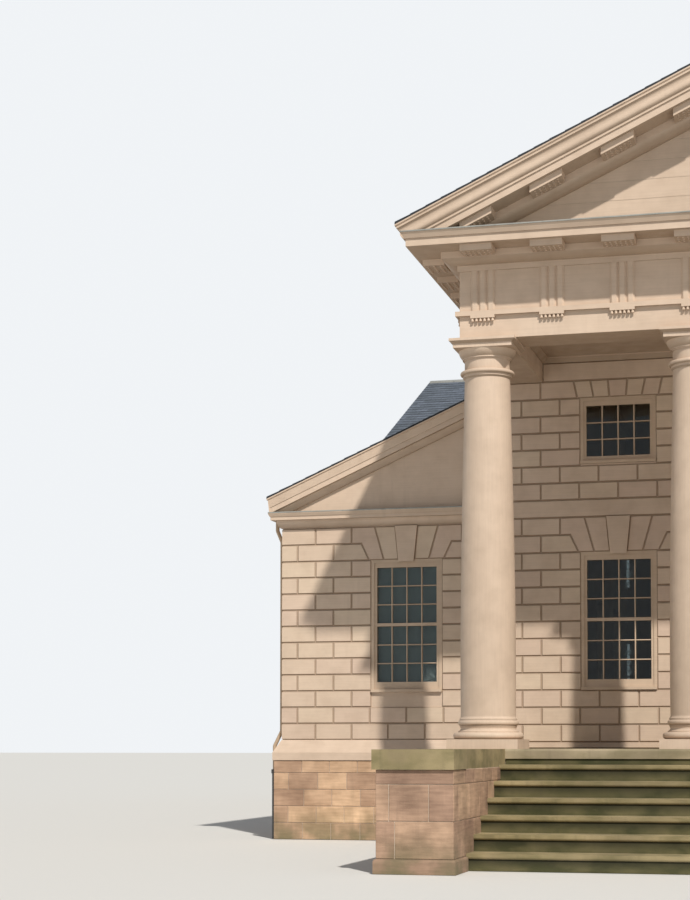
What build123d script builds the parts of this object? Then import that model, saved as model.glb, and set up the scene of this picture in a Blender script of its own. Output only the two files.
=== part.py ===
# Temple-front library of painted timber on a brownstone basement.
# A Doric portico stands before a gabled main block, with a lean-to wing on each side
# and a gabled cross block behind. X runs to the right, Y to the back and Z up.
# The origin is on the lowest ground, in the middle of the building's length and width.
from build123d import *
from math import atan, cos, sin
import os

os.makedirs("parts", exist_ok=True)

# Steps and portico floor
riser = 190.0
riser_count = 7
tread = 420.0
nosing = 30.0
tread_thickness = 60.0
floor_edge_reach = 600.0
floor_slab = 120.0
podium_margin = 40.0
podium_inset = 25.0

# Cheek blocks beside the steps
cheek_inner_x = 3640.0
cheek_width = 835.0
cheek_reach = 3790.0
cheek_cap_height = 215.0
cheek_cap_overhang = 45.0
cheek_base_height = 160.0
cheek_base_projection = 35.0

# Columns
bay = 2640.0
column_height = 5180.0
shaft_bottom_radius = 350.0
shaft_top_radius = 290.0
plinth_width = 900.0
plinth_height = 120.0
base_height = 380.0
neck_height = 340.0
abacus_height = 115.0
abacus_width = 750.0
abacus_lip = 45.0
abacus_lip_share = 0.28
lower_torus_radius = 44.0
lower_torus_setback = 4.0
lower_fillet_reach = 34.0
lower_fillet_height = 14.0
scotia_reach = 4.0
upper_fillet_reach = 14.0
upper_fillet_height = 10.0
upper_torus_radius = 36.0
foot_fillet_reach = 16.0
foot_fillet_height = 17.0
foot_curve_height = 40.0
lower_shaft_share = 0.97
upper_shaft_share = 0.42
upper_shaft_level = 0.7
astragal_flare_height = 22.0
astragal_fillet_reach = 22.0
astragal_fillet_height = 28.0
astragal_bulge = 34.0
astragal_height = 54.0
annulet_height = 14.0
annulet_step = 13.0
echinus_height = 98.0
echinus_bulge = 9.0
echinus_setback = 6.0

# Entablature, upwards from the tops of the columns
beam_width = 600.0
architrave_height = 290.0
taenia_height = 60.0
taenia_projection = 50.0
frieze_height = 512.0
frieze_cap_height = 75.0
frieze_cap_projection = 25.0
bed_mould_height = 65.0
bed_mould_projection = 200.0
bed_curve_share = 0.72
bed_curve_rise = 0.3
mutule_height = 80.0
mutule_width = 400.0
mutule_length = 280.0
mutule_margin = 72.0
corona_projection = 572.0
corona_height = 95.0
corona_cap_height = 85.0
corona_cap_projection = 60.0
sima_height = 148.0
cornice_projection = 668.0
moulding_step = 20.0
sima_fillet = 35.0
cyma_fullness = 0.18
triglyph_width = 310.0
triglyph_relief = 30.0
glyph_depth = 24.0
regula_height = 35.0
gutta_height = 40.0
gutta_radius = 20.0
gutta_taper = 0.65
triglyphs_per_bay = 3

# Raking cornices and roofs
roof_slope = 0.46
rake_thickness = 459.0
rake_corona_height = 85.0
rake_sima_height = 210.0
rake_sima_foot = 25.0
tympanum_thickness = 150.0
roof_thickness = 40.0
roof_lip = 18.0
ridge_cap_width = 240.0
ridge_cap_thickness = 30.0

# Walls, floors and foundations
wall_thickness = 300.0
facing_relief = 20.0
foundation_thickness = 500.0
foundation_projection = 105.0
foundation_drop = 172.0
water_table_projection = 130.0
water_table_fascia = 112.0
water_table_bevel = 186.0

# Main block and rear cross block
portico_depth = 2640.0
main_length = 13060.0
rear_half_length = 8400.0

# Wings
wing_setback = 380.0
wing_width = 3360.0
wing_depth = 4200.0
wing_slope = 0.442
wing_wall_height = 3258.0
wing_bed_height = 111.0
wing_corona_height = 51.0
wing_cap_height = 62.0
wing_eave_height = 3672.0
wing_projection = 170.0
wing_corona_projection = 140.0
wing_bed_projection = 70.0
wing_rake_thickness = 280.0
wing_bed_foot = 20.0
wing_bed_share = 0.7
wing_bed_rise = 0.35
wing_moulding_step = 10.0
wing_fillet = 20.0
wing_sima_share = 0.42
wing_corona_share = 0.68
wing_bed_level = 0.84

# Windows and doorway, heights above the portico floor
window_pitch = 2600.0
window_width = 1054.0
sash_width = 890.0
lower_sill = 820.0
lower_head = 2754.0
upper_sill = 3998.0
upper_head = 4930.0
sill_height = 40.0
sill_projection = 30.0
bottom_rail = 107.0
top_rail = 113.0
meeting_rail = 45.0
frame_depth = 120.0
frame_setback = 10.0
casing_face = 45.0
sash_recess = 25.0
upper_rail_share = 0.6
glass_thickness = 6.0
glass_inset = 60.0
wing_window_offset = 210.0
door_width = 1500.0
door_casing = 150.0
door_casing_projection = 60.0
door_thickness = 60.0
door_jamb = 45.0
door_transom_height = 480.0
door_rail = 140.0
door_panel_depth = 15.0
leaf_gap = 4.0
panel_shares = (0.2, 0.44, 0.36)

# Wall arches over the windows
keystone_width_top = 330.0
keystone_width_bottom = 232.0
keystone_relief = 28.0
keystone_lip = 30.0
arch_height_top = 3248.0

# Ceiling of the portico
ceiling_rise = 340.0
ceiling_thickness = 40.0

# Rainwater pipes on the wings
pipe_radius = 28.0
boot_radius = 38.0
boot_height = 1020.0
pipe_clearance = 12.0
pipe_setback = 140.0
pipe_bend = 60.0
outlet_drop = 130.0
swan_neck_drop = 300.0
offset_rise = 130.0
offset_drop = 90.0
strap_width = 24.0
strap_height = 30.0
strap_shares = (0.3, 0.75)
collar_lip = 12.0
collar_height = 60.0
lug_width = 30.0
lug_height = 40.0
lug_drop = 160.0

# Levels
deck = riser * riser_count
foundation_top = deck - foundation_drop
soffit = deck + column_height
taenia_bottom = soffit + architrave_height
frieze_bottom = taenia_bottom + taenia_height
frieze_top = frieze_bottom + frieze_height
bed_bottom = frieze_top + frieze_cap_height
bed_top = bed_bottom + bed_mould_height
corona_bottom = bed_top + mutule_height
corona_top = corona_bottom + corona_height
pediment_floor = corona_top + corona_cap_height
eave_top = corona_top + sima_height
ceiling_bottom = soffit + ceiling_rise

# Plan lines
half_front = 1.5 * bay + beam_width / 2
main_wall_x = half_front - facing_relief
rear_width = 2 * half_front
roof_reach = half_front + cornice_projection
building_length = (
    cheek_reach + cheek_cap_overhang + portico_depth + main_length + rear_width
    + cornice_projection + roof_lip
)
y_columns = cheek_reach + cheek_cap_overhang - building_length / 2
y_frieze = y_columns - beam_width / 2
y_floor_edge = y_columns - floor_edge_reach
y_wall = y_columns + portico_depth
y_wall_face = y_wall + facing_relief
y_rear_front = y_wall + main_length
y_rear_middle = y_rear_front + half_front
y_rear_back = y_rear_front + rear_width
y_cheek_front = y_columns - cheek_reach
y_wing_front = y_wall + wing_setback
y_wing_back = y_wing_front + wing_depth
wing_wall_x = half_front + wing_width - facing_relief
rear_wall_x = rear_half_length - facing_relief
column_xs = [(n - 1.5) * bay for n in range(4)]
triglyph_pitch = bay / triglyphs_per_bay

# Roof pitches
rake_angle = atan(roof_slope)
wing_angle = atan(wing_slope)
apex = eave_top + roof_reach * roof_slope
wing_reach = half_front + wing_width + wing_projection
wing_eave = deck + wing_eave_height
wing_cornice_bottom = deck + wing_wall_height
wing_corona_bottom = wing_cornice_bottom + wing_bed_height
wing_corona_top = wing_corona_bottom + wing_corona_height
wing_pediment_floor = wing_corona_top + wing_cap_height


def roof_under(x):
    """Height of the main roof's underside at a distance from its ridge."""
    return eave_top + (roof_reach - abs(x)) * roof_slope


def wing_roof_under(x):
    """Height of a wing roof's underside at a distance from the middle of the building."""
    return wing_eave + (wing_reach - abs(x)) * wing_slope


def block(x0, x1, y0, y1, z0, z1, mode=Mode.ADD):
    """A rectangular solid between two corners, in the part being built."""
    with Locations(((x0 + x1) / 2, (y0 + y1) / 2, (z0 + z1) / 2)):
        Box(abs(x1 - x0), abs(y1 - y0), abs(z1 - z0), mode=mode)


def both_sides(shape):
    """A left-hand shape and its mirror image on the right, as one part of separate solids."""
    with BuildPart() as pair:
        add(shape)
        mirror(about=Plane.YZ)
    return pair


# Portico floor: a slab of stone with a rounded front edge, on a masonry podium
podium_x = cheek_inner_x + cheek_width - podium_inset
with BuildPart() as podium:
    block(-podium_x, podium_x, y_floor_edge + nosing, y_wall_face - foundation_projection,
          0, deck - floor_slab)
podium.part.label = "podium"
export_step(podium.part, "parts/podium.step")

with BuildPart() as portico_floor:
    floor_x = podium_x + podium_margin
    block(-floor_x, floor_x, y_floor_edge, y_wall_face, deck - floor_slab, deck)
    front_edges = portico_floor.edges().filter_by(Axis.X).group_by(Axis.Y)[0]
    fillet(front_edges.sort_by(Axis.Z)[-1], radius=nosing)
portico_floor.part.label = "portico_floor"
export_step(portico_floor.part, "parts/portico_floor.step")

# Steps: treads with rounded nosings, laid on a stepped core of masonry
with BuildPart() as stair_core:
    with BuildSketch(Plane.YZ) as core_profile:
        with BuildLine():
            core_points = [(y_floor_edge + nosing, 0), (y_floor_edge + nosing, deck - riser - tread_thickness)]
            for n in range(1, riser_count):
                riser_y = y_floor_edge - n * tread + nosing
                core_points.append((riser_y, deck - n * riser - tread_thickness))
                next_top = deck - (n + 1) * riser - tread_thickness if n < riser_count - 1 else 0
                core_points.append((riser_y, next_top))
            Polyline(*core_points, close=True)
        make_face()
    extrude(amount=cheek_inner_x, both=True)
stair_core.part.label = "stair_core"
export_step(stair_core.part, "parts/stair_core.step")

with BuildPart() as stair_treads:
    for n in range(1, riser_count):
        edge_y = y_floor_edge - n * tread
        top = deck - n * riser
        with BuildSketch(Plane.YZ) as tread_profile:
            with Locations((edge_y + (tread + nosing) / 2, top - tread_thickness / 2)):
                Rectangle(tread + nosing, tread_thickness)
            front_corners = tread_profile.vertices().group_by(Axis.Y)[0]
            fillet(front_corners, radius=tread_thickness * 0.45)
        extrude(amount=cheek_inner_x, both=True)
stair_treads.part.label = "stair_treads"
export_step(stair_treads.part, "parts/stair_treads.step")

# Cheek blocks: a rounded base, an ashlar wall and an overhanging cap
cheek_outer_x = cheek_inner_x + cheek_width
cheek_back = y_floor_edge + nosing
cheek_cap_bottom = deck - cheek_cap_height
first_riser_y = y_floor_edge - (riser_count - 1) * tread
with BuildPart() as left_cheek_base:
    block(-cheek_outer_x - cheek_base_projection, -cheek_inner_x + cheek_base_projection,
          y_cheek_front - cheek_base_projection, cheek_back, 0, cheek_base_height)
    upper_rim = left_cheek_base.faces().sort_by(Axis.Z)[-1].edges()
    fillet(upper_rim.sort_by(Axis.Y)[:-1], radius=cheek_base_projection)
    block(-cheek_inner_x, 0, first_riser_y, cheek_back + 1, -1, cheek_base_height + 1,
          mode=Mode.SUBTRACT)
cheek_bases = both_sides(left_cheek_base.part)
cheek_bases.part.label = "cheek_bases"
export_step(cheek_bases.part, "parts/cheek_bases.step")

with BuildPart() as left_cheek_wall:
    block(-cheek_outer_x, -cheek_inner_x, y_cheek_front, cheek_back,
          cheek_base_height, cheek_cap_bottom)
cheek_walls = both_sides(left_cheek_wall.part)
cheek_walls.part.label = "cheek_walls"
export_step(cheek_walls.part, "parts/cheek_walls.step")

with BuildPart() as left_cheek_cap:
    block(-cheek_outer_x - cheek_cap_overhang, -cheek_inner_x + cheek_cap_overhang / 2,
          y_cheek_front - cheek_cap_overhang, y_floor_edge, cheek_cap_bottom, deck)
    block(-cheek_inner_x, 0, first_riser_y, y_floor_edge + 1, 0, deck + 1, mode=Mode.SUBTRACT)
cheek_caps = both_sides(left_cheek_cap.part)
cheek_caps.part.label = "cheek_caps"
export_step(cheek_caps.part, "parts/cheek_caps.step")

# Columns: a square plinth, turned base, tapered shaft, neck, echinus and square abacus
lower_torus_reach = plinth_width / 2 - lower_torus_radius - lower_torus_setback
lower_torus_z = plinth_height + lower_torus_radius
lower_fillet_z = lower_torus_z + lower_torus_radius
scotia_foot_z = lower_fillet_z + lower_fillet_height
upper_torus_z = base_height - foot_fillet_height - upper_torus_radius
upper_fillet_z = upper_torus_z - upper_torus_radius
scotia_top_z = upper_fillet_z - upper_fillet_height
neck_bottom = column_height - abacus_height - neck_height
astragal_foot_z = neck_bottom + astragal_fillet_height
astragal_top_z = astragal_foot_z + astragal_height
astragal_reach = shaft_top_radius + astragal_fillet_reach
abacus_bottom = column_height - abacus_height
echinus_foot_z = abacus_bottom - echinus_height
echinus_foot = shaft_top_radius + 2 * annulet_step
echinus_reach = abacus_width / 2 - echinus_setback
shaft_taper = shaft_bottom_radius - shaft_top_radius
with BuildPart() as turned_column:
    with BuildSketch(Plane.XZ) as column_profile:
        with BuildLine():
            base_line = Line((0, plinth_height), (lower_torus_reach, plinth_height))
            lower_torus = ThreePointArc(
                base_line @ 1,
                (lower_torus_reach + lower_torus_radius, lower_torus_z),
                (lower_torus_reach, lower_fillet_z),
            )
            lower_fillet = Polyline(
                lower_torus @ 1,
                (shaft_bottom_radius + lower_fillet_reach, lower_fillet_z),
                (shaft_bottom_radius + lower_fillet_reach, scotia_foot_z),
            )
            scotia = ThreePointArc(
                lower_fillet @ 1,
                (shaft_bottom_radius + scotia_reach, (scotia_foot_z + scotia_top_z) / 2),
                (shaft_bottom_radius + upper_fillet_reach, scotia_top_z),
            )
            upper_fillet = Polyline(
                scotia @ 1,
                (shaft_bottom_radius + upper_fillet_reach, upper_fillet_z),
                (shaft_bottom_radius, upper_fillet_z),
            )
            upper_torus = ThreePointArc(
                upper_fillet @ 1,
                (shaft_bottom_radius + upper_torus_radius, upper_torus_z),
                (shaft_bottom_radius, upper_torus_z + upper_torus_radius),
            )
            foot_fillet = Polyline(
                upper_torus @ 1,
                (shaft_bottom_radius + foot_fillet_reach, upper_torus_z + upper_torus_radius),
                (shaft_bottom_radius + foot_fillet_reach, base_height),
            )
            foot_curve = ThreePointArc(
                foot_fillet @ 1,
                (shaft_bottom_radius + foot_fillet_reach * 0.3, base_height + foot_curve_height * 0.35),
                (shaft_bottom_radius, base_height + foot_curve_height),
            )
            swelling = Spline(
                foot_curve @ 1,
                (shaft_top_radius + shaft_taper * lower_shaft_share, column_height / 3),
                (shaft_top_radius + shaft_taper * upper_shaft_share, column_height * upper_shaft_level),
                (shaft_top_radius, neck_bottom - astragal_flare_height),
            )
            astragal_fillet = Polyline(
                swelling @ 1,
                (astragal_reach, neck_bottom),
                (astragal_reach, astragal_foot_z),
            )
            astragal = ThreePointArc(
                astragal_fillet @ 1,
                (astragal_reach + astragal_bulge, (astragal_foot_z + astragal_top_z) / 2),
                (astragal_reach, astragal_top_z),
            )
            neck = Polyline(
                astragal @ 1,
                (shaft_top_radius, astragal_top_z),
                (shaft_top_radius, echinus_foot_z - 2 * annulet_height),
                (shaft_top_radius + annulet_step, echinus_foot_z - 2 * annulet_height),
                (shaft_top_radius + annulet_step, echinus_foot_z - annulet_height),
                (echinus_foot, echinus_foot_z - annulet_height),
                (echinus_foot, echinus_foot_z),
            )
            echinus = ThreePointArc(
                neck @ 1,
                ((echinus_foot + echinus_reach) / 2 + echinus_bulge, (echinus_foot_z + abacus_bottom) / 2),
                (echinus_reach, abacus_bottom),
            )
            closing = Polyline(echinus @ 1, (0, abacus_bottom), (0, plinth_height))
        make_face()
    revolve(axis=Axis.Z)
    block(-plinth_width / 2, plinth_width / 2, -plinth_width / 2, plinth_width / 2,
          0, plinth_height)
    abacus_half = abacus_width / 2
    lip_half = abacus_half + abacus_lip
    lip_height = abacus_height * abacus_lip_share
    block(-abacus_half, abacus_half, -abacus_half, abacus_half,
          abacus_bottom, column_height - 2 * lip_height)
    with BuildSketch(Plane.XY.offset(column_height - 2 * lip_height)):
        Rectangle(abacus_width, abacus_width)
    with BuildSketch(Plane.XY.offset(column_height - lip_height)):
        Rectangle(2 * lip_half, 2 * lip_half)
    loft()
    block(-lip_half, lip_half, -lip_half, lip_half, column_height - lip_height, column_height)

for number, column_x in enumerate(column_xs, start=1):
    with BuildPart() as column:
        with Locations((column_x, y_columns, deck)):
            add(turned_column.part)
    column.part.label = f"column_{number}"
    export_step(column.part, f"parts/column_{number}.step")


def run_plane(start, end):
    """A section plane at a run's start: local X outwards, local Y up, normal along the run."""
    direction = Vector(end[0] - start[0], end[1] - start[1], 0).normalized()
    outward = Vector(-direction.Y, direction.X, 0)
    return Plane(origin=(start[0], start[1], 0), x_dir=outward, z_dir=direction)


def moulding_run(section, before, start, end, after, margin=1500.0):
    """A moulding along one straight run of a path, mitred with the runs before and after it."""
    plane = run_plane(start, end)
    length = (Vector(*end) - Vector(*start)).length
    with BuildPart() as run:
        with BuildSketch(plane.offset(-margin)):
            add(section)
        extrude(amount=length + 2 * margin)
        if before is None:
            split(bisect_by=plane, keep=Keep.TOP)
        else:
            first = plane.z_dir + run_plane(before, start).z_dir
            split(bisect_by=Plane(origin=plane.origin, z_dir=first), keep=Keep.TOP)
        if after is None:
            split(bisect_by=plane.offset(length), keep=Keep.BOTTOM)
        else:
            last = plane.z_dir + run_plane(end, after).z_dir
            split(bisect_by=Plane(origin=plane.offset(length).origin, z_dir=last), keep=Keep.BOTTOM)
    return run.part


# The outline of the frieze, walked so that outwards is to the left
outline = [
    (half_front, y_rear_front),
    (half_front, y_frieze),
    (-half_front, y_frieze),
    (-half_front, y_rear_front),
    (-rear_half_length, y_rear_front),
    (-rear_half_length, y_rear_back),
    (rear_half_length, y_rear_back),
    (rear_half_length, y_rear_front),
]
inner_corners = (0, 3)


def outline_run(section, index):
    """The mitred moulding along one side of the frieze's outline."""
    count = len(outline)
    points = [outline[(index + step) % count] for step in (-1, 0, 1, 2)]
    return moulding_run(section, *points)


def entablature_section(depth):
    """Architrave, taenia, frieze, frieze cap and bed mould: outwards is local X, up is local Y."""
    with BuildSketch() as section:
        with BuildLine():
            face = Polyline(
                (-depth, soffit),
                (0, soffit),
                (0, taenia_bottom),
                (taenia_projection, taenia_bottom),
                (taenia_projection, frieze_bottom),
                (0, frieze_bottom),
                (0, frieze_top),
                (frieze_cap_projection, frieze_top),
                (frieze_cap_projection, bed_bottom),
                (frieze_cap_projection + moulding_step, bed_bottom),
            )
            ovolo = ThreePointArc(
                face @ 1,
                (bed_mould_projection * bed_curve_share, bed_bottom + bed_mould_height * bed_curve_rise),
                (bed_mould_projection, bed_top),
            )
            Polyline(ovolo @ 1, (-depth, bed_top), (-depth, soffit))
        make_face()
    return section.sketch


def cyma(foot, lip):
    """The S of a gutter moulding, full above its foot and hollow under its lip."""
    foot = Vector(foot)
    half = (Vector(lip) - foot) / 2
    bulge = Vector(half.Y, -half.X) * cyma_fullness
    swell = ThreePointArc(foot, foot + half / 2 + bulge, foot + half)
    return ThreePointArc(swell @ 1, foot + half * 1.5 - bulge, lip)


def cornice_section(depth, pediment):
    """Corona with a small cap below a pediment, or with a gutter moulding and rafter feet at eaves."""
    with BuildSketch() as section:
        with BuildLine():
            lower = Polyline(
                (-depth, bed_top),
                (bed_mould_projection, bed_top),
                (bed_mould_projection, corona_bottom),
                (corona_projection, corona_bottom),
                (corona_projection, corona_top),
                (corona_projection + moulding_step, corona_top),
            )
            if pediment:
                Polyline(
                    lower @ 1,
                    (corona_projection + corona_cap_projection, pediment_floor),
                    (-depth, pediment_floor),
                    (-depth, bed_top),
                )
            else:
                gutter = cyma(lower @ 1, (cornice_projection, eave_top - sima_fillet))
                Polyline(
                    gutter @ 1,
                    (cornice_projection, eave_top),
                    (-depth, eave_top + (cornice_projection + depth) * roof_slope),
                    (-depth, bed_top),
                )
        make_face()
    return section.sketch


def triglyph_sketch(half, relief):
    """Plan of a triglyph: two full glyphs, two half glyphs and three flat shanks."""
    glyph = half / 3
    deep = relief - glyph_depth
    points = [(-half, 0), (-half, deep), (-half + glyph / 2, relief)]
    for centre in (-glyph, glyph):
        points += [(centre - glyph / 2, relief), (centre, deep), (centre + glyph / 2, relief)]
    points += [(half - glyph / 2, relief), (half, deep), (half, 0)]
    with BuildSketch() as plan:
        with BuildLine():
            Polyline(*points, close=True)
        make_face()
    return plan.sketch


# One triglyph with its regula and guttae, facing along local Y from the frieze's face
triglyph_half = triglyph_width / 2
gutta_spacing = triglyph_width / 6
with BuildPart() as triglyph:
    with BuildSketch(Plane.XY.offset(frieze_bottom)):
        add(triglyph_sketch(triglyph_half, triglyph_relief))
    extrude(amount=frieze_height)
    block(-triglyph_half, triglyph_half, 0, taenia_projection,
          taenia_bottom - regula_height, taenia_bottom)
with BuildPart() as front_triglyph:
    add(triglyph.part)
    with Locations((0, taenia_projection - gutta_radius, taenia_bottom - regula_height - gutta_height / 2)):
        with GridLocations(gutta_spacing, 1, 6, 1):
            Cone(gutta_radius, gutta_radius * gutta_taper, gutta_height)


def run_places(index, clearance):
    """Places for triglyphs along one side, facing outwards and clear of an inner corner."""
    start = outline[index]
    end = outline[(index + 1) % len(outline)]
    plane = run_plane(start, end)
    length = (Vector(*end) - Vector(*start)).length
    corner = beam_width / 2
    starts_inside = index in inner_corners
    ends_inside = (index + 1) % len(outline) in inner_corners
    if starts_inside or ends_inside:
        count = int((length - corner - clearance) / triglyph_pitch)
        pitch = triglyph_pitch
    else:
        count = round((length - 2 * corner) / triglyph_pitch)
        pitch = (length - 2 * corner) / count
    places = []
    for n in range(count + 1):
        distance = corner + n * pitch
        if starts_inside:
            distance = length - distance
        places.append(Plane(origin=plane.offset(distance).origin, x_dir=plane.z_dir, z_dir=(0, 0, 1)))
    return places


def mutule(place):
    """Outline of a mutule under the soffit, at one triglyph's place."""
    with BuildSketch(place.offset(bed_top)) as plan:
        with Locations((0, corona_projection - mutule_margin - mutule_length / 2)):
            Rectangle(mutule_width, mutule_length)
    return plan.sketch


# Entablature and cornice of the main block: front, and the two long sides
wall_seat = wall_thickness + facing_relief
front_run = 1
left_run = 2
triglyph_clearance = triglyph_half + triglyph_relief
mutule_clearance = corona_projection + mutule_width / 2
front_places = run_places(front_run, 0)
with BuildPart() as front_entablature:
    add(outline_run(entablature_section(beam_width), front_run))
    with Locations(*front_places):
        add(front_triglyph.part)
front_entablature.part.label = "front_entablature"
export_step(front_entablature.part, "parts/front_entablature.step")

with BuildPart() as left_entablature:
    add(outline_run(entablature_section(beam_width), left_run))
    block(-half_front + wall_seat, 0, y_wall_face + wall_thickness, y_rear_back,
          soffit - 1, bed_top + 1, mode=Mode.SUBTRACT)
    with Locations(*run_places(left_run, triglyph_clearance)):
        add(triglyph.part)
side_entablatures = both_sides(left_entablature.part)
side_entablatures.part.label = "side_entablatures"
export_step(side_entablatures.part, "parts/side_entablatures.step")

with BuildPart() as front_cornice:
    add(outline_run(cornice_section(beam_width, pediment=True), front_run))
    for place in front_places:
        extrude(mutule(place), amount=mutule_height)
front_cornice.part.label = "front_cornice"
export_step(front_cornice.part, "parts/front_cornice.step")

with BuildPart() as left_cornice:
    add(outline_run(cornice_section(wall_seat, pediment=False), left_run))
    for place in run_places(left_run, mutule_clearance):
        extrude(mutule(place), amount=mutule_height)
side_cornices = both_sides(left_cornice.part)
side_cornices.part.label = "side_cornices"
export_step(side_cornices.part, "parts/side_cornices.step")


# Raking cornice: drawn on the slope from the apex, facing the front, left half first
rake_soffit = rake_sima_height + rake_corona_height
rake_mutule_bottom = rake_soffit + mutule_height
rake_plane = Plane(
    origin=(0, 0, apex),
    x_dir=(0, -1, 0),
    z_dir=(-cos(rake_angle), 0, -sin(rake_angle)),
)
rake_bed_middle = (rake_mutule_bottom + rake_thickness) / 2
with BuildSketch() as rake_section:
    with BuildLine():
        rake_top = Polyline(
            (-tympanum_thickness, 0),
            (cornice_projection, 0),
            (cornice_projection, -sima_fillet),
        )
        gutter_foot = (corona_projection + moulding_step, rake_sima_foot - rake_sima_height)
        cyma(gutter_foot, rake_top @ 1)
        rake_face = Polyline(
            gutter_foot,
            (corona_projection + moulding_step, -rake_sima_height),
            (corona_projection, -rake_sima_height),
            (corona_projection, -rake_soffit),
            (bed_mould_projection, -rake_soffit),
            (bed_mould_projection, -rake_mutule_bottom),
        )
        rake_bed = ThreePointArc(
            rake_face @ 1,
            (bed_mould_projection * bed_curve_share, -rake_bed_middle - bed_mould_height * bed_curve_rise),
            (moulding_step, -rake_thickness),
        )
        Polyline(rake_bed @ 1, (-tympanum_thickness, -rake_thickness), (-tympanum_thickness, 0))
    make_face()

mutule_xs = [-(n + 0.5) * triglyph_pitch for n in range(len(front_places) // 2)]
with BuildPart() as left_rake:
    with BuildSketch(rake_plane.offset(-1000)):
        add(rake_section.sketch)
    extrude(amount=roof_reach / cos(rake_angle) + 2500)
    for x in mutule_xs:
        corners = []
        for edge_x, drop in ((-1, rake_soffit), (1, rake_soffit), (1, rake_mutule_bottom), (-1, rake_mutule_bottom)):
            place_x = x + edge_x * mutule_width / 2
            corners.append((place_x, roof_under(place_x) - drop / cos(rake_angle)))
        with BuildSketch(Plane.XZ.offset(corona_projection - mutule_margin)):
            with BuildLine():
                Polyline(*corners, close=True)
            make_face()
        extrude(amount=-mutule_length)
    split(bisect_by=Plane.YZ, keep=Keep.BOTTOM)
    split(bisect_by=Plane.YZ.offset(-roof_reach), keep=Keep.TOP)
    split(bisect_by=Plane.XY.offset(pediment_floor), keep=Keep.TOP)
    split(bisect_by=Plane(origin=(-half_front, 0, 0), z_dir=(1, -1, 0)), keep=Keep.TOP)

with BuildPart() as left_raking_cornice:
    with Locations((0, y_frieze, 0)):
        add(left_rake.part)
left_raking_cornice.part.label = "left_raking_cornice"
export_step(left_raking_cornice.part, "parts/left_raking_cornice.step")

with BuildPart() as right_raking_cornice:
    add(left_raking_cornice.part)
    mirror(about=Plane.YZ, mode=Mode.REPLACE)
right_raking_cornice.part.label = "right_raking_cornice"
export_step(right_raking_cornice.part, "parts/right_raking_cornice.step")


# Tympanum: the flat triangle within a pediment, facing the front
tympanum_apex = apex - rake_thickness / cos(rake_angle)
tympanum_half = (tympanum_apex - pediment_floor) / roof_slope
with BuildPart() as tympanum:
    with BuildSketch(Plane.XZ):
        with BuildLine():
            Polyline((-tympanum_half, pediment_floor), (tympanum_half, pediment_floor),
                     (0, tympanum_apex), close=True)
        make_face()
    extrude(amount=-tympanum_thickness)

with BuildPart() as front_tympanum:
    with Locations((0, y_frieze, 0)):
        add(tympanum.part)
front_tympanum.part.label = "front_tympanum"
export_step(front_tympanum.part, "parts/front_tympanum.step")

# Rear cross block: its entablature, cornice and the two gable pediments
rear_runs = (3, 4, 5, 6, 7)
gable_runs = (4, 6)
with BuildPart() as rear_entablature:
    for index in rear_runs:
        add(outline_run(entablature_section(wall_seat), index))
        with Locations(*run_places(index, triglyph_clearance)):
            add(triglyph.part)
rear_entablature.part.label = "rear_entablature"
export_step(rear_entablature.part, "parts/rear_entablature.step")

with BuildPart() as rear_cornice:
    for index in rear_runs:
        add(outline_run(cornice_section(wall_seat, pediment=index in gable_runs), index))
        for place in run_places(index, mutule_clearance):
            extrude(mutule(place), amount=mutule_height)
rear_cornice.part.label = "rear_cornice"
export_step(rear_cornice.part, "parts/rear_cornice.step")

left_gable_place = Location((-rear_half_length, y_rear_middle, 0), (0, 0, -90))
with BuildPart() as gable_pair:
    add(left_rake.part)
    mirror(about=Plane.YZ)
with BuildPart() as left_gable_cornice:
    with Locations(left_gable_place):
        add(gable_pair.part)
rear_raking_cornices = both_sides(left_gable_cornice.part)
rear_raking_cornices.part.label = "rear_raking_cornices"
export_step(rear_raking_cornices.part, "parts/rear_raking_cornices.step")

with BuildPart() as left_gable_tympanum:
    with Locations(left_gable_place):
        add(tympanum.part)
rear_tympana = both_sides(left_gable_tympanum.part)
rear_tympana.part.label = "rear_tympana"
export_step(rear_tympana.part, "parts/rear_tympana.step")

# Roof slopes: slates on boards, cut to meet in the valleys above the crossing
slab_rise = roof_thickness / cos(rake_angle)
eave_edge = roof_reach + roof_lip
left_valley = Plane(origin=(0, y_rear_middle, 0), z_dir=(1, -1, 0))
with BuildPart() as main_roof_left:
    with BuildSketch(Plane.XZ.offset(-(y_frieze - cornice_projection - roof_lip))):
        with BuildLine():
            Polyline(
                (0, apex),
                (0, apex + slab_rise),
                (-eave_edge, roof_under(eave_edge) + slab_rise),
                (-eave_edge, roof_under(eave_edge)),
                close=True,
            )
        make_face()
    extrude(amount=-building_length)
    split(bisect_by=left_valley, keep=Keep.TOP)
main_roof_left.part.label = "main_roof_left"
export_step(main_roof_left.part, "parts/main_roof_left.step")

with BuildPart() as main_roof_right:
    add(main_roof_left.part)
    mirror(about=Plane.YZ, mode=Mode.REPLACE)
main_roof_right.part.label = "main_roof_right"
export_step(main_roof_right.part, "parts/main_roof_right.step")

gable_edge = rear_half_length + cornice_projection + roof_lip
valley_gap = 4.0
with BuildPart() as rear_front_slope:
    with BuildSketch(Plane.YZ.offset(-gable_edge)):
        with BuildLine():
            Polyline(
                (y_rear_middle, apex),
                (y_rear_middle, apex + slab_rise),
                (y_rear_middle - eave_edge, roof_under(eave_edge) + slab_rise),
                (y_rear_middle - eave_edge, roof_under(eave_edge)),
                close=True,
            )
        make_face()
    extrude(amount=gable_edge - valley_gap)
    split(bisect_by=left_valley, keep=Keep.BOTTOM)
rear_roof_front = both_sides(rear_front_slope.part)
rear_roof_front.part.label = "rear_roof_front"
export_step(rear_roof_front.part, "parts/rear_roof_front.step")

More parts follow.
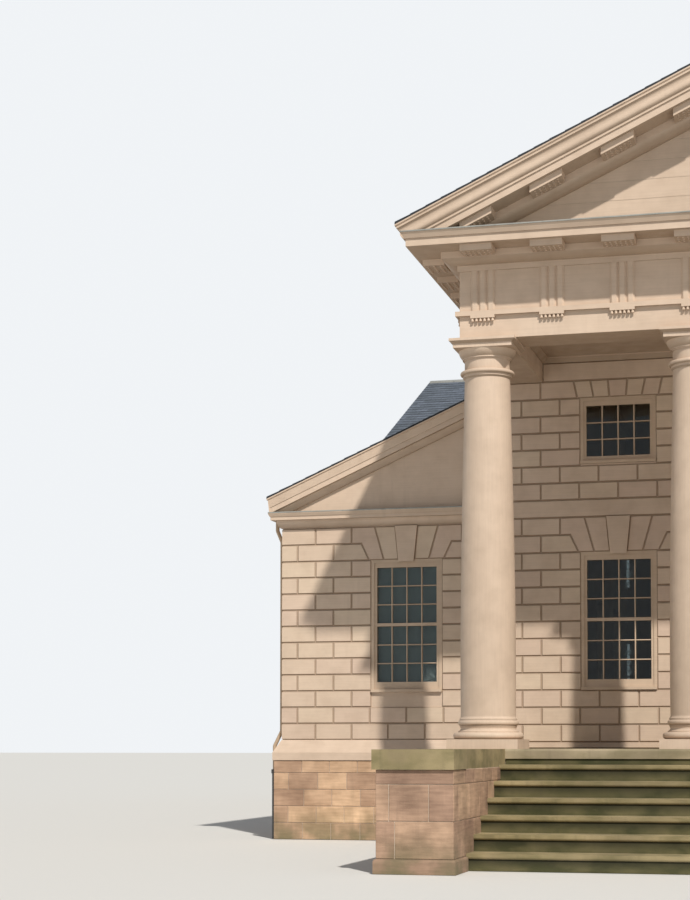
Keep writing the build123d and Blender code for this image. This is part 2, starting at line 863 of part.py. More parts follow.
with BuildPart() as rear_roof_back:
    with BuildSketch(Plane.YZ):
        with BuildLine():
            Polyline(
                (y_rear_middle, apex),
                (y_rear_middle, apex + slab_rise),
                (y_rear_middle + eave_edge, roof_under(eave_edge) + slab_rise),
                (y_rear_middle + eave_edge, roof_under(eave_edge)),
                close=True,
            )
        make_face()
    extrude(amount=gable_edge, both=True)
rear_roof_back.part.label = "rear_roof_back"
export_step(rear_roof_back.part, "parts/rear_roof_back.step")

# Ridge caps along the main ridge and the rear ridge, meeting over the valleys
cap_half = ridge_cap_width / 2
half_cap = [
    (0, apex + slab_rise),
    (-cap_half, roof_under(cap_half) + slab_rise),
    (-cap_half, roof_under(cap_half) + slab_rise + ridge_cap_thickness),
    (0, apex + slab_rise + ridge_cap_thickness),
]
with BuildPart() as main_half_cap:
    with BuildSketch(Plane.XZ.offset(-(y_frieze - cornice_projection))):
        with BuildLine():
            Polyline(*half_cap, close=True)
        make_face()
    extrude(amount=-building_length)
    split(bisect_by=left_valley, keep=Keep.TOP)
with BuildPart() as rear_half_cap:
    with BuildSketch(Plane.YZ.offset(-rear_half_length - cornice_projection)):
        with BuildLine():
            Polyline(*[(y_rear_middle + x, z) for x, z in half_cap], close=True)
        make_face()
    extrude(amount=rear_half_length + cornice_projection)
with BuildPart() as rear_front_cap:
    add(rear_half_cap.part)
    split(bisect_by=left_valley, keep=Keep.BOTTOM)
with BuildPart() as ridge_caps:
    add(main_half_cap.part)
    add(rear_front_cap.part)
    mirror(rear_half_cap.part, about=Plane.XZ.offset(-y_rear_middle))
    mirror(about=Plane.YZ)
ridge_caps.part.label = "ridge_caps"
export_step(ridge_caps.part, "parts/ridge_caps.step")

# Places of the windows: each lies on the facing line of its wall, with local Y outwards
wing_middle_x = half_front + wing_width / 2
wing_window_x = wing_middle_x - wing_window_offset
wing_middle_y = (y_wing_front + y_wing_back) / 2
side_middle_y = (y_wing_back + y_rear_front) / 2
rear_return_x = (half_front + rear_half_length) / 2


def facing(x, y, direction):
    """A place on a wall's facing line: local X along the wall, local Y outwards."""
    return Plane(origin=(x, y, 0), x_dir=direction, z_dir=(0, 0, 1))


faces_front = (-1, 0, 0)
faces_left = (0, 1, 0)
faces_back = (1, 0, 0)
front_lower = [facing(x, y_wall, faces_front) for x in (-window_pitch, window_pitch)]
front_upper = [facing(x, y_wall, faces_front) for x in (-window_pitch, 0, window_pitch)]
wing_front = [facing(-wing_window_x, y_wing_front, faces_front)]
wing_side = [facing(-half_front - wing_width, wing_middle_y, faces_left)]
wing_back = [facing(-wing_window_x, y_wing_back, faces_back)]
side_windows = [facing(-half_front, side_middle_y + n * window_pitch, faces_left) for n in (-1, 0, 1)]
return_windows = [facing(-rear_return_x, y_rear_front, faces_front)]
gable_windows = [facing(-rear_half_length, y_rear_middle + n * window_pitch, faces_left) for n in (-1, 0, 1)]
back_windows = [facing(n * window_pitch, y_rear_back, faces_back) for n in (-2, -1, 0, 1, 2)]


def cut_windows(places, sill, head):
    """Window openings through the wall being built."""
    with Locations(*places):
        with Locations((0, -wall_seat / 2, deck + (sill + head) / 2)):
            Box(window_width, 2 * wall_seat, head - sill, mode=Mode.SUBTRACT)


# Walls of the main block
door_head = lower_head - door_casing
wall_inner_x = main_wall_x - wall_thickness
with BuildPart() as main_front_wall:
    block(-main_wall_x, main_wall_x, y_wall_face, y_wall_face + wall_thickness,
          foundation_top, soffit)
    block(-half_front + beam_width, half_front - beam_width,
          y_wall_face, y_wall_face + wall_thickness, soffit, ceiling_bottom + ceiling_thickness)
    cut_windows(front_lower, lower_sill, lower_head)
    cut_windows(front_upper, upper_sill, upper_head)
    block(-door_width / 2, door_width / 2, y_wall - 50, y_wall_face + wall_thickness + 50,
          deck, deck + door_head, mode=Mode.SUBTRACT)
main_front_wall.part.label = "main_front_wall"
export_step(main_front_wall.part, "parts/main_front_wall.step")

with BuildPart() as left_side_wall:
    block(-main_wall_x, -wall_inner_x, y_wall_face + wall_thickness,
          y_rear_front + facing_relief, foundation_top, soffit)
    cut_windows(side_windows, lower_sill, lower_head)
    cut_windows(side_windows, upper_sill, upper_head)
main_side_walls = both_sides(left_side_wall.part)
main_side_walls.part.label = "main_side_walls"
export_step(main_side_walls.part, "parts/main_side_walls.step")

# Walls of the rear cross block
y_rear_face = y_rear_front + facing_relief
y_back_face = y_rear_back - facing_relief
rear_inner_x = rear_wall_x - wall_thickness
with BuildPart() as left_return_wall:
    block(-rear_inner_x, -wall_inner_x, y_rear_face, y_rear_face + wall_thickness,
          foundation_top, soffit)
    cut_windows(return_windows, lower_sill, lower_head)
    cut_windows(return_windows, upper_sill, upper_head)
rear_front_walls = both_sides(left_return_wall.part)
rear_front_walls.part.label = "rear_front_walls"
export_step(rear_front_walls.part, "parts/rear_front_walls.step")

with BuildPart() as left_gable_wall:
    block(-rear_wall_x, -rear_inner_x, y_rear_face, y_back_face, foundation_top, soffit)
    cut_windows(gable_windows, lower_sill, lower_head)
    cut_windows(gable_windows, upper_sill, upper_head)
rear_gable_walls = both_sides(left_gable_wall.part)
rear_gable_walls.part.label = "rear_gable_walls"
export_step(rear_gable_walls.part, "parts/rear_gable_walls.step")

with BuildPart() as rear_back_wall:
    block(-rear_inner_x, rear_inner_x, y_back_face - wall_thickness, y_back_face,
          foundation_top, soffit)
    cut_windows(back_windows, lower_sill, lower_head)
    cut_windows(back_windows, upper_sill, upper_head)
rear_back_wall.part.label = "rear_back_wall"
export_step(rear_back_wall.part, "parts/rear_back_wall.step")

# Walls of the wings, with half gables under the lean-to roofs
y_wing_face = y_wing_front + facing_relief
y_wing_back_face = y_wing_back - facing_relief
wing_inner_x = wing_wall_x - wall_thickness
wing_gable = [
    (-main_wall_x, foundation_top),
    (-wing_wall_x, foundation_top),
    (-wing_wall_x, wing_roof_under(wing_wall_x)),
    (-half_front, wing_roof_under(half_front)),
    (-half_front, soffit),
    (-main_wall_x, soffit),
]
with BuildPart() as left_wing_front:
    with BuildSketch(Plane.XZ.offset(-y_wing_face)):
        with BuildLine():
            Polyline(*wing_gable, close=True)
        make_face()
    extrude(amount=-wall_thickness)
    cut_windows(wing_front, lower_sill, lower_head)
wing_front_walls = both_sides(left_wing_front.part)
wing_front_walls.part.label = "wing_front_walls"
export_step(wing_front_walls.part, "parts/wing_front_walls.step")

with BuildPart() as left_wing_back:
    with BuildSketch(Plane.XZ.offset(-y_wing_back_face)):
        with BuildLine():
            Polyline(*wing_gable, close=True)
        make_face()
    extrude(amount=wall_thickness)
    cut_windows(wing_back, lower_sill, lower_head)
wing_back_walls = both_sides(left_wing_back.part)
wing_back_walls.part.label = "wing_back_walls"
export_step(wing_back_walls.part, "parts/wing_back_walls.step")

with BuildPart() as left_wing_side:
    with BuildSketch(Plane.XZ.offset(-(y_wing_face + wall_thickness))):
        with BuildLine():
            Polyline(
                (-wing_wall_x, foundation_top),
                (-wing_wall_x, wing_roof_under(wing_wall_x)),
                (-wing_inner_x, wing_roof_under(wing_inner_x)),
                (-wing_inner_x, foundation_top),
                close=True,
            )
        make_face()
    extrude(amount=-(y_wing_back_face - y_wing_face - 2 * wall_thickness))
    cut_windows(wing_side, lower_sill, lower_head)
wing_side_walls = both_sides(left_wing_side.part)
wing_side_walls.part.label = "wing_side_walls"
export_step(wing_side_walls.part, "parts/wing_side_walls.step")

# Wing cornices: level on three sides, with raking pieces on the half gables
wing_outline = [
    (-main_wall_x, y_wing_front),
    (-half_front - wing_width, y_wing_front),
    (-half_front - wing_width, y_wing_back),
    (-main_wall_x, y_wing_back),
]


def wing_cornice_section(eave):
    """Bed mould, corona and cap of a wing, with a gutter moulding where it is an eave."""
    top = wing_eave if eave else wing_pediment_floor
    with BuildSketch() as section:
        with BuildLine():
            foot = Polyline((-facing_relief, wing_cornice_bottom), (wing_bed_foot, wing_cornice_bottom))
            bed = ThreePointArc(
                foot @ 1,
                (wing_bed_projection * wing_bed_share, wing_cornice_bottom + wing_bed_height * wing_bed_rise),
                (wing_bed_projection, wing_corona_bottom),
            )
            face = Polyline(
                bed @ 1,
                (wing_corona_projection, wing_corona_bottom),
                (wing_corona_projection, wing_corona_top),
                (wing_corona_projection + wing_moulding_step, wing_corona_top),
                (wing_projection, top - wing_fillet),
                (wing_projection, top),
            )
            if eave:
                back = Polyline(
                    face @ 1,
                    (-facing_relief, wing_eave + (wing_projection + facing_relief) * wing_slope),
                )
            else:
                back = Line(face @ 1, (-facing_relief, top))
            Line(back @ 1, foot @ 0)
        make_face()
    return section.sketch


with BuildPart() as left_wing_cornice:
    add(moulding_run(wing_cornice_section(False), None, *wing_outline[:3]))
    add(moulding_run(wing_cornice_section(True), *wing_outline))
    add(moulding_run(wing_cornice_section(False), *wing_outline[1:], None))
wing_cornices = both_sides(left_wing_cornice.part)
wing_cornices.part.label = "wing_cornices"
export_step(wing_cornices.part, "parts/wing_cornices.step")

wing_rake_plane = Plane(
    origin=(-half_front, 0, wing_roof_under(half_front)),
    x_dir=(0, -1, 0),
    z_dir=(-cos(wing_angle), 0, -sin(wing_angle)),
)
wing_sima = wing_rake_thickness * wing_sima_share
wing_corona_drop = wing_rake_thickness * wing_corona_share
with BuildPart() as wing_rake:
    with BuildSketch(wing_rake_plane.offset(-500)):
        with BuildLine():
            wing_rake_face = Polyline(
                (-facing_relief, 0),
                (wing_projection, 0),
                (wing_projection, -wing_fillet),
                (wing_corona_projection + wing_moulding_step, -wing_sima),
                (wing_corona_projection, -wing_sima),
                (wing_corona_projection, -wing_corona_drop),
                (wing_bed_projection, -wing_corona_drop),
            )
            wing_rake_bed = ThreePointArc(
                wing_rake_face @ 1,
                (wing_bed_projection * wing_bed_share, -wing_rake_thickness * wing_bed_level),
                (wing_bed_foot, -wing_rake_thickness),
            )
            Polyline(wing_rake_bed @ 1, (-facing_relief, -wing_rake_thickness), (-facing_relief, 0))
        make_face()
    extrude(amount=(wing_reach - half_front) / cos(wing_angle) + 1000)
    split(bisect_by=Plane.YZ.offset(-half_front), keep=Keep.BOTTOM)
    split(bisect_by=Plane.YZ.offset(-wing_reach), keep=Keep.TOP)
    split(bisect_by=Plane.XY.offset(wing_pediment_floor), keep=Keep.TOP)
    split(bisect_by=Plane(origin=(-half_front - wing_width, 0, 0), z_dir=(1, -1, 0)), keep=Keep.TOP)

with BuildPart() as left_wing_rakes:
    with Locations((0, y_wing_front, 0)):
        add(wing_rake.part)
    mirror(about=Plane.XZ.offset(-wing_middle_y))
wing_raking_cornices = both_sides(left_wing_rakes.part)
wing_raking_cornices.part.label = "wing_raking_cornices"
export_step(wing_raking_cornices.part, "parts/wing_raking_cornices.step")

wing_slab_rise = roof_thickness / cos(wing_angle)
wing_edge = wing_reach + roof_lip
with BuildPart() as left_wing_roof:
    with BuildSketch(Plane.XZ.offset(-(y_wing_front - wing_projection - roof_lip))):
        with BuildLine():
            Polyline(
                (-half_front, wing_roof_under(half_front)),
                (-half_front, wing_roof_under(half_front) + wing_slab_rise),
                (-wing_edge, wing_roof_under(wing_edge) + wing_slab_rise),
                (-wing_edge, wing_roof_under(wing_edge)),
                close=True,
            )
        make_face()
    extrude(amount=-(wing_depth + 2 * wing_projection + 2 * roof_lip))
wing_roofs = both_sides(left_wing_roof.part)
wing_roofs.part.label = "wing_roofs"
export_step(wing_roofs.part, "parts/wing_roofs.step")

# Foundations of coursed stone, standing a little proud of the walls above
main_base_x = main_wall_x + foundation_projection
wing_base_x = wing_wall_x + foundation_projection
rear_base_x = rear_wall_x + foundation_projection
y_main_base = y_wall_face - foundation_projection
y_wing_base = y_wing_face - foundation_projection
y_wing_base_back = y_wing_back_face + foundation_projection
y_rear_base = y_rear_face - foundation_projection
y_back_base = y_back_face + foundation_projection
with BuildPart() as main_foundation:
    block(-main_base_x, main_base_x, y_main_base, y_rear_base, 0, foundation_top)
    block(-main_base_x + foundation_thickness, main_base_x - foundation_thickness,
          y_main_base + foundation_thickness, y_rear_base + 1, -1, foundation_top + 1,
          mode=Mode.SUBTRACT)
main_foundation.part.label = "main_foundation"
export_step(main_foundation.part, "parts/main_foundation.step")

with BuildPart() as left_wing_foundation:
    block(-wing_base_x, -main_base_x, y_wing_base, y_wing_base_back, 0, foundation_top)
    block(-wing_base_x + foundation_thickness, -main_base_x + 1,
          y_wing_base + foundation_thickness, y_wing_base_back - foundation_thickness,
          -1, foundation_top + 1, mode=Mode.SUBTRACT)
wing_foundations = both_sides(left_wing_foundation.part)
wing_foundations.part.label = "wing_foundations"
export_step(wing_foundations.part, "parts/wing_foundations.step")

with BuildPart() as rear_foundation:
    block(-rear_base_x, rear_base_x, y_rear_base, y_back_base, 0, foundation_top)
    block(-rear_base_x + foundation_thickness, rear_base_x - foundation_thickness,
          y_rear_base + foundation_thickness, y_back_base - foundation_thickness,
          -1, foundation_top + 1, mode=Mode.SUBTRACT)
rear_foundation.part.label = "rear_foundation"
export_step(rear_foundation.part, "parts/rear_foundation.step")

# Water table: a fascia and a weathered bevel where the timber walls start
table_top = foundation_top + water_table_fascia + water_table_bevel
with BuildSketch() as table_section:
    with BuildLine():
        Polyline(
            (0, foundation_top),
            (water_table_projection, foundation_top),
            (water_table_projection, foundation_top + water_table_fascia),
            (facing_relief, table_top),
            (0, table_top),
            close=True,
        )
    make_face()
table_path = [
    (-main_wall_x, y_wall_face),
    (-main_wall_x, y_wing_face),
    (-wing_wall_x, y_wing_face),
    (-wing_wall_x, y_wing_back_face),
    (-main_wall_x, y_wing_back_face),
    (-main_wall_x, y_rear_face),
    (-rear_wall_x, y_rear_face),
    (-rear_wall_x, y_back_face),
    (0, y_back_face),
]
with BuildPart() as water_table:
    stations = [None, *table_path, None]
    for step in range(len(table_path) - 1):
        add(moulding_run(table_section.sketch, *stations[step:step + 4], margin=200))
    mirror(about=Plane.YZ)
water_table.part.label = "water_table"
export_step(water_table.part, "parts/water_table.step")

# Ground floors, resting on the inner ledge of the foundations
with BuildPart() as main_floor:
    block(-wall_inner_x, wall_inner_x, y_wall_face + wall_thickness, y_rear_face,
          foundation_top, deck)
main_floor.part.label = "main_floor"
export_step(main_floor.part, "parts/main_floor.step")

with BuildPart() as rear_floor:
    block(-rear_inner_x, rear_inner_x, y_rear_face + wall_thickness,
          y_back_face - wall_thickness, foundation_top, deck)
    block(-wall_inner_x, wall_inner_x, y_rear_face, y_rear_face + wall_thickness,
          foundation_top, deck)
rear_floor.part.label = "rear_floor"
export_step(rear_floor.part, "parts/rear_floor.step")

with BuildPart() as left_wing_floor:
    block(-wing_inner_x, -main_wall_x, y_wing_face + wall_thickness,
          y_wing_back_face - wall_thickness, foundation_top, deck)
wing_floors = both_sides(left_wing_floor.part)
wing_floors.part.label = "wing_floors"
export_step(wing_floors.part, "parts/wing_floors.step")

# Ceiling of the portico, between the beams
with BuildPart() as portico_ceiling:
    block(-half_front + beam_width, half_front - beam_width,
          y_frieze + beam_width, y_wall_face, ceiling_bottom, ceiling_bottom + ceiling_thickness)
portico_ceiling.part.label = "portico_ceiling"
export_step(portico_ceiling.part, "parts/portico_ceiling.step")

# Window frames with their sashes and sills, and the glass in the sashes
sash_middle = (lower_sill + sill_height + bottom_rail + lower_head - top_rail) / 2
lower_lights = [
    (lower_sill + sill_height + bottom_rail, sash_middle - meeting_rail / 2),
    (sash_middle + meeting_rail / 2, lower_head - top_rail),
]
upper_lights = [(upper_sill + sill_height + bottom_rail * upper_rail_share, upper_head - top_rail)]


def window_frame(sill, head, lights):
    """A frame with its sash openings, on a wall's facing line with local Y outwards."""
    with BuildPart() as made:
        half = window_width / 2
        block(-half, half, -frame_depth, -frame_setback, deck + sill, deck + head)
        block(-half + casing_face, half - casing_face, -sash_recess, 1,
              deck + sill + sill_height, deck + head - casing_face, mode=Mode.SUBTRACT)
        for low, high in lights:
            block(-sash_width / 2, sash_width / 2, -frame_depth - 1, 1,
                  deck + low, deck + high, mode=Mode.SUBTRACT)
        block(-half, half, -frame_setback, sill_projection, deck + sill, deck + sill + sill_height)
    return made.part


def window_glass(lights):
    """The sheets of glass of one window."""
    with BuildPart() as made:
        for low, high in lights:
            block(-sash_width / 2, sash_width / 2, -glass_inset - glass_thickness, -glass_inset,
                  deck + low, deck + high)
    return made.part


lower_frame = window_frame(lower_sill, lower_head, lower_lights)
upper_frame = window_frame(upper_sill, upper_head, upper_lights)
lower_glass = window_glass(lower_lights)
upper_glass = window_glass(upper_lights)
left_lower = wing_front + wing_side + wing_back + side_windows + return_windows + gable_windows
left_upper = side_windows + return_windows + gable_windows


def every_window(lower_shape, upper_shape):
    """One window part at each window of the building."""
    with BuildPart() as made:
        with Locations(*left_lower):
            add(lower_shape)
        with Locations(*left_upper):
            add(upper_shape)
        mirror(about=Plane.YZ)
        with Locations(*front_lower, *back_windows):
            add(lower_shape)
        with Locations(*front_upper, *back_windows):
            add(upper_shape)
    return made


window_frames = every_window(lower_frame, upper_frame)
window_frames.part.label = "window_frames"
export_step(window_frames.part, "parts/window_frames.step")

window_panes = every_window(lower_glass, upper_glass)
window_panes.part.label = "window_glass"
export_step(window_panes.part, "parts/window_glass.step")

# Entrance: a cased opening with a pair of panelled doors under a solid transom
transom_bottom = door_head - door_transom_height
y_door = y_wall_face + wall_thickness / 2
with BuildPart() as door_frame:
    outer = door_width / 2 + door_casing
    block(-outer, outer, y_wall - door_casing_projection, y_wall_face, deck, deck + lower_head)
    block(-door_width / 2 + door_jamb, door_width / 2 - door_jamb,
          y_wall - door_casing_projection - 1, y_wall_face + 1,
          deck - 1, deck + door_head - door_jamb, mode=Mode.SUBTRACT)
    block(-door_width / 2, door_width / 2, y_wall_face, y_door + door_thickness,
          deck, deck + door_head)
    block(-door_width / 2 + door_jamb, door_width / 2 - door_jamb,
          y_wall_face - 1, y_door + door_thickness + 1, deck - 1, deck + transom_bottom,
          mode=Mode.SUBTRACT)
door_frame.part.label = "door_frame"
export_step(door_frame.part, "parts/door_frame.step")

leaf_outer = door_width / 2 - door_jamb
panel_room = transom_bottom - (len(panel_shares) + 1) * door_rail
with BuildPart() as left_leaf:
    block(-leaf_outer, -leaf_gap / 2, y_door, y_door + door_thickness,
          deck, deck + transom_bottom)
    level = deck + door_rail
    for share in panel_shares:
        height = share * panel_room
        block(-leaf_outer + door_rail, -leaf_gap / 2 - door_rail,
              y_door - 1, y_door + door_panel_depth, level, level + height, mode=Mode.SUBTRACT)
        level += height + door_rail
entrance_doors = both_sides(left_leaf.part)
entrance_doors.part.label = "entrance_doors"
export_step(entrance_doors.part, "parts/entrance_doors.step")

# Keystones: wedges that lock the flat arches over the lower windows
arch_top = deck + arch_height_top
keystone_foot = deck + lower_head
lip_share = keystone_lip / (arch_top - keystone_foot)
lip_width = keystone_width_bottom - (keystone_width_top - keystone_width_bottom) * lip_share
with BuildPart() as keystone:
    with BuildSketch(Plane.XZ.offset(facing_relief)):
        with BuildLine():
            Polyline(
                (-keystone_width_top / 2, arch_top),
                (keystone_width_top / 2, arch_top),
                (keystone_width_bottom / 2, keystone_foot),
                (-keystone_width_bottom / 2, keystone_foot),
                close=True,
            )
        make_face()
    extrude(amount=-(keystone_relief + facing_relief))
    with BuildSketch(Plane.XZ):
        with BuildLine():
            Polyline(
                (-keystone_width_bottom / 2, keystone_foot),
                (keystone_width_bottom / 2, keystone_foot),
                (lip_width / 2, keystone_foot - keystone_lip),
                (-lip_width / 2, keystone_foot - keystone_lip),
                close=True,
            )
        make_face()
    extrude(amount=-keystone_relief)
with BuildPart() as keystones:
    with Locations(*left_lower):
        add(keystone.part)
    mirror(about=Plane.YZ)
    with Locations(*front_lower, *back_windows):
        add(keystone.part)
keystones.part.label = "keystones"
export_step(keystones.part, "parts/keystones.step")

# Rainwater pipes: from each wing's gutter down to a cast boot at the ground
x_pipe = half_front + wing_width + pipe_clearance + pipe_radius
x_outlet = half_front + wing_width + wing_corona_projection - pipe_radius
x_boot = wing_wall_x + water_table_projection + pipe_clearance + pipe_radius
y_pipe = y_wing_front + pipe_setback
with BuildPart() as left_pipe:
    with BuildLine() as pipe_path:
        FilletPolyline(
            (-x_outlet, y_pipe, wing_corona_bottom),
            (-x_outlet, y_pipe, wing_corona_bottom - outlet_drop),
            (-x_pipe, y_pipe, wing_corona_bottom - swan_neck_drop),
            (-x_pipe, y_pipe, table_top + offset_rise),
            (-x_boot, y_pipe, table_top - offset_drop),
            (-x_boot, y_pipe, boot_height),
            radius=pipe_bend,
        )
    with BuildSketch(Plane(origin=pipe_path.line @ 0, z_dir=pipe_path.line % 0)):
        Circle(pipe_radius)
    sweep(path=pipe_path.line)
    for share in strap_shares:
        strap_z = deck + share * wing_wall_height
        block(-x_pipe, -wing_wall_x, y_pipe - strap_width / 2, y_pipe + strap_width / 2,
              strap_z, strap_z + strap_height)
downspouts = both_sides(left_pipe.part)
downspouts.part.label = "downspouts"
export_step(downspouts.part, "parts/downspouts.step")

with BuildPart() as left_boot:
    with Locations((-x_boot, y_pipe, boot_height / 2)):
        Cylinder(boot_radius, boot_height)
    with Locations((-x_boot, y_pipe, boot_height - collar_height / 2)):
        Cylinder(boot_radius + collar_lip, collar_height)
    block(-x_boot, -wing_base_x, y_pipe - lug_width / 2, y_pipe + lug_width / 2,
          boot_height - lug_drop, boot_height - lug_drop + lug_height)
downspout_boots = both_sides(left_boot.part)
downspout_boots.part.label = "downspout_boots"
export_step(downspout_boots.part, "parts/downspout_boots.step")
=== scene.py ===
# Temple-front library of painted timber on a brownstone basement, dressed around its solids.
# Lengths are in metres: X to the right of the portico, Y to the back, Z up from the ground.
from math import atan, ceil, cos, radians, sin
from random import Random

import bpy
from mathutils import Matrix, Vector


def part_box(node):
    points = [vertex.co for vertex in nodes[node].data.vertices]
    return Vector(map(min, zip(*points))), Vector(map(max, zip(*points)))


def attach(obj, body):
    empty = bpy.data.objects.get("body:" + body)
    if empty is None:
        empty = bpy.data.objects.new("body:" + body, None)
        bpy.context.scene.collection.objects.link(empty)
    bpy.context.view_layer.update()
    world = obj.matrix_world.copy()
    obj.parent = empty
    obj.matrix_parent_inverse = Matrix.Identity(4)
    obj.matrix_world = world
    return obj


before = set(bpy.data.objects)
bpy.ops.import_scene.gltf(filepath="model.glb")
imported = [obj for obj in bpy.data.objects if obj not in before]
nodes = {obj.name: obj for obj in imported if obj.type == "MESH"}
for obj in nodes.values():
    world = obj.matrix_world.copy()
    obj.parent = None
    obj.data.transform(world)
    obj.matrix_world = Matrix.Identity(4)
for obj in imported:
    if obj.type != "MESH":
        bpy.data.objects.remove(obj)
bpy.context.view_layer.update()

# The photographer stands in the lane in front, a little right of the portico's middle line,
# with the camera at eye height. It looks to the left and slightly up, with the lens raised
# so that the columns stay upright.
column_low, column_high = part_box("column_1")
y_columns = (column_low.y + column_high.y) / 2
off_middle, distance, eye_height = 0.28, 22.8, 1.37
look_up, look_left = 2.5, 13.9
bpy.ops.object.camera_add(
    location=(off_middle, y_columns - distance, eye_height),
    rotation=(radians(90 + look_up), 0, radians(look_left)),
)
camera = bpy.context.object
camera.data.lens = 73
camera.data.sensor_width = 36
camera.data.shift_x = -0.04
camera.data.shift_y = 0.24
camera.data.clip_end = 500
bpy.context.scene.camera = camera
bpy.context.scene.view_settings.view_transform = "Standard"


# The ground is a plain pale floor under a plain pale sky. A soft sun stands to the right
# in front, halfway up, so that the portico shades the wing, and the sky fills the shadows.
def plug(tree, node, plugs):
    """The inputs of a shader node: each takes a plain value or the socket of another node."""
    for key, value in plugs.items():
        if isinstance(value, bpy.types.NodeSocket):
            tree.links.new(value, node.inputs[key])
        else:
            node.inputs[key].default_value = value


def put(tree, kind, plugs, **settings):
    """A new shader node, with its settings and its plugs."""
    made = tree.nodes.new("ShaderNode" + kind)
    for name, value in settings.items():
        setattr(made, name, value)
    plug(tree, made, plugs)
    return made


def paint(red, green, blue):
    """A colour as on a paint card, from 0 to 255, in the linear values that shaders take."""
    return tuple((share / 255) ** 2.2 for share in (red, green, blue)) + (1.0,)


def new_material(name):
    """A new material, with its node tree and its shader."""
    material = bpy.data.materials.new(name)
    material.use_nodes = True
    return material, material.node_tree, material.node_tree.nodes["Principled BSDF"]


bpy.ops.mesh.primitive_plane_add(size=600, location=(0, 0, -0.004))
ground = bpy.context.object
ground.name = "floor"
pale_floor, tree, shader = new_material("pale_floor")
plug(tree, shader, {"Base Color": paint(222, 221, 217), "Roughness": 0.9})
ground.data.materials.append(pale_floor)

world = bpy.data.worlds.new("sky")
bpy.context.scene.world = world
world.use_nodes = True
tree = world.node_tree
skylight = tree.nodes["Background"]
plug(tree, skylight, {"Color": paint(232, 240, 250), "Strength": 0.34})
backdrop = put(tree, "Background", {"Color": paint(240, 243, 246), "Strength": 1.0})
seen = put(tree, "LightPath", {}).outputs["Is Camera Ray"]
choice = put(tree, "MixShader", {0: seen, 1: skylight.outputs[0], 2: backdrop.outputs[0]})
plug(tree, tree.nodes["World Output"], {"Surface": choice.outputs[0]})

bpy.ops.object.light_add(type="SUN", rotation=(radians(45), 0, radians(31)))
sun = bpy.context.object
sun.data.energy = 3.4
sun.data.angle = radians(1.5)
sun.data.color = (1.0, 0.955, 0.89)


# Brownstone of the basement and the cheek walls: sawn sandstone blocks, from pinkish to
# dark brown with faint bedding, laid in courses with pale lime mortar. The solids behind
# the blocks show only as the mortar in the joints.
def calculate(tree, operation, first, second):
    """The result of one sum."""
    return put(tree, "Math", {0: first, 1: second}, operation=operation).outputs[0]


def new_group(name, inputs, outputs):
    """A shader group, its inputs as (name, kind, value) and its outputs as (name, kind)."""
    tree = bpy.data.node_groups.new(name, "ShaderNodeTree")
    for title, kind, value in inputs:
        socket = tree.interface.new_socket(name=title, in_out="INPUT", socket_type="NodeSocket" + kind)
        if value is not None:
            socket.default_value = value
    for title, kind in outputs:
        tree.interface.new_socket(name=title, in_out="OUTPUT", socket_type="NodeSocket" + kind)
    given = tree.nodes.new("NodeGroupInput").outputs
    return tree, given, tree.nodes.new("NodeGroupOutput").inputs


def grouped(tree, group, plugs):
    """The outputs of one use of a shader group."""
    return put(tree, "Group", plugs, node_tree=group).outputs


def stretch(tree, value, low, high, to_low, to_high):
    """A value between low and high, mapped to another range and held inside it."""
    plugs = {"Value": value, "From Min": low, "From Max": high, "To Min": to_low, "To Max": to_high}
    return put(tree, "MapRange", plugs).outputs[0]


def mix(tree, share, first, second, how="MIX"):
    """Two colours mixed."""
    plugs = {0: share, 6: first, 7: second}
    return put(tree, "Mix", plugs, data_type="RGBA", blend_type=how).outputs[2]


def squeeze(tree, place, scale):
    """A place, scaled along each axis."""
    return put(tree, "VectorMath", {0: place, 1: scale}, operation="MULTIPLY").outputs[0]


def noise(tree, place, scale, detail=4.0):
    """A noise value from about 0.3 to 0.7."""
    return put(tree, "TexNoise", {"Vector": place, "Scale": scale, "Detail": detail}).outputs[0]


def object_place(tree):
    """The place on the piece, in its own coordinates."""
    return put(tree, "TexCoord", {}).outputs["Object"]


def upward(tree, vector):
    """The upward part of a place or a direction."""
    return put(tree, "SeparateXYZ", {0: vector}).outputs[2]


# Finishes that several materials share: broad patches and rain streaks that weather
# a colour, the tone that each stone, block or slate has of its own, and fine grain.
weather, given, result = new_group(
    "weather",
    [("Colour", "Color", None), ("Dirt", "Color", None), ("Place", "Vector", None),
     ("Patches", "Float", 0.5), ("Streaks", "Float", 0.5)],
    [("Colour", "Color"), ("Rough", "Float")],
)
broad = noise(weather, given["Place"], 0.7)
close = noise(weather, given["Place"], 5.0, 5.0)
rain = noise(weather, squeeze(weather, given["Place"], (7.0, 7.0, 0.35)), 1.6, 3.0)
broad_share = stretch(weather, broad, 0.35, 0.65, 0.0, 0.6)
close_share = stretch(weather, close, 0.4, 0.7, 0.0, 0.4)
patchy = calculate(weather, "MULTIPLY", calculate(weather, "ADD", broad_share, close_share), given["Patches"])
streaky = calculate(weather, "MULTIPLY", stretch(weather, rain, 0.5, 0.72, 0.0, 1.0), given["Streaks"])
dirty = calculate(weather, "MAXIMUM", patchy, streaky)
weather.links.new(mix(weather, dirty, given["Colour"], given["Dirt"]), result["Colour"])
weather.links.new(stretch(weather, close, 0.3, 0.7, 0.45, 0.8), result["Rough"])

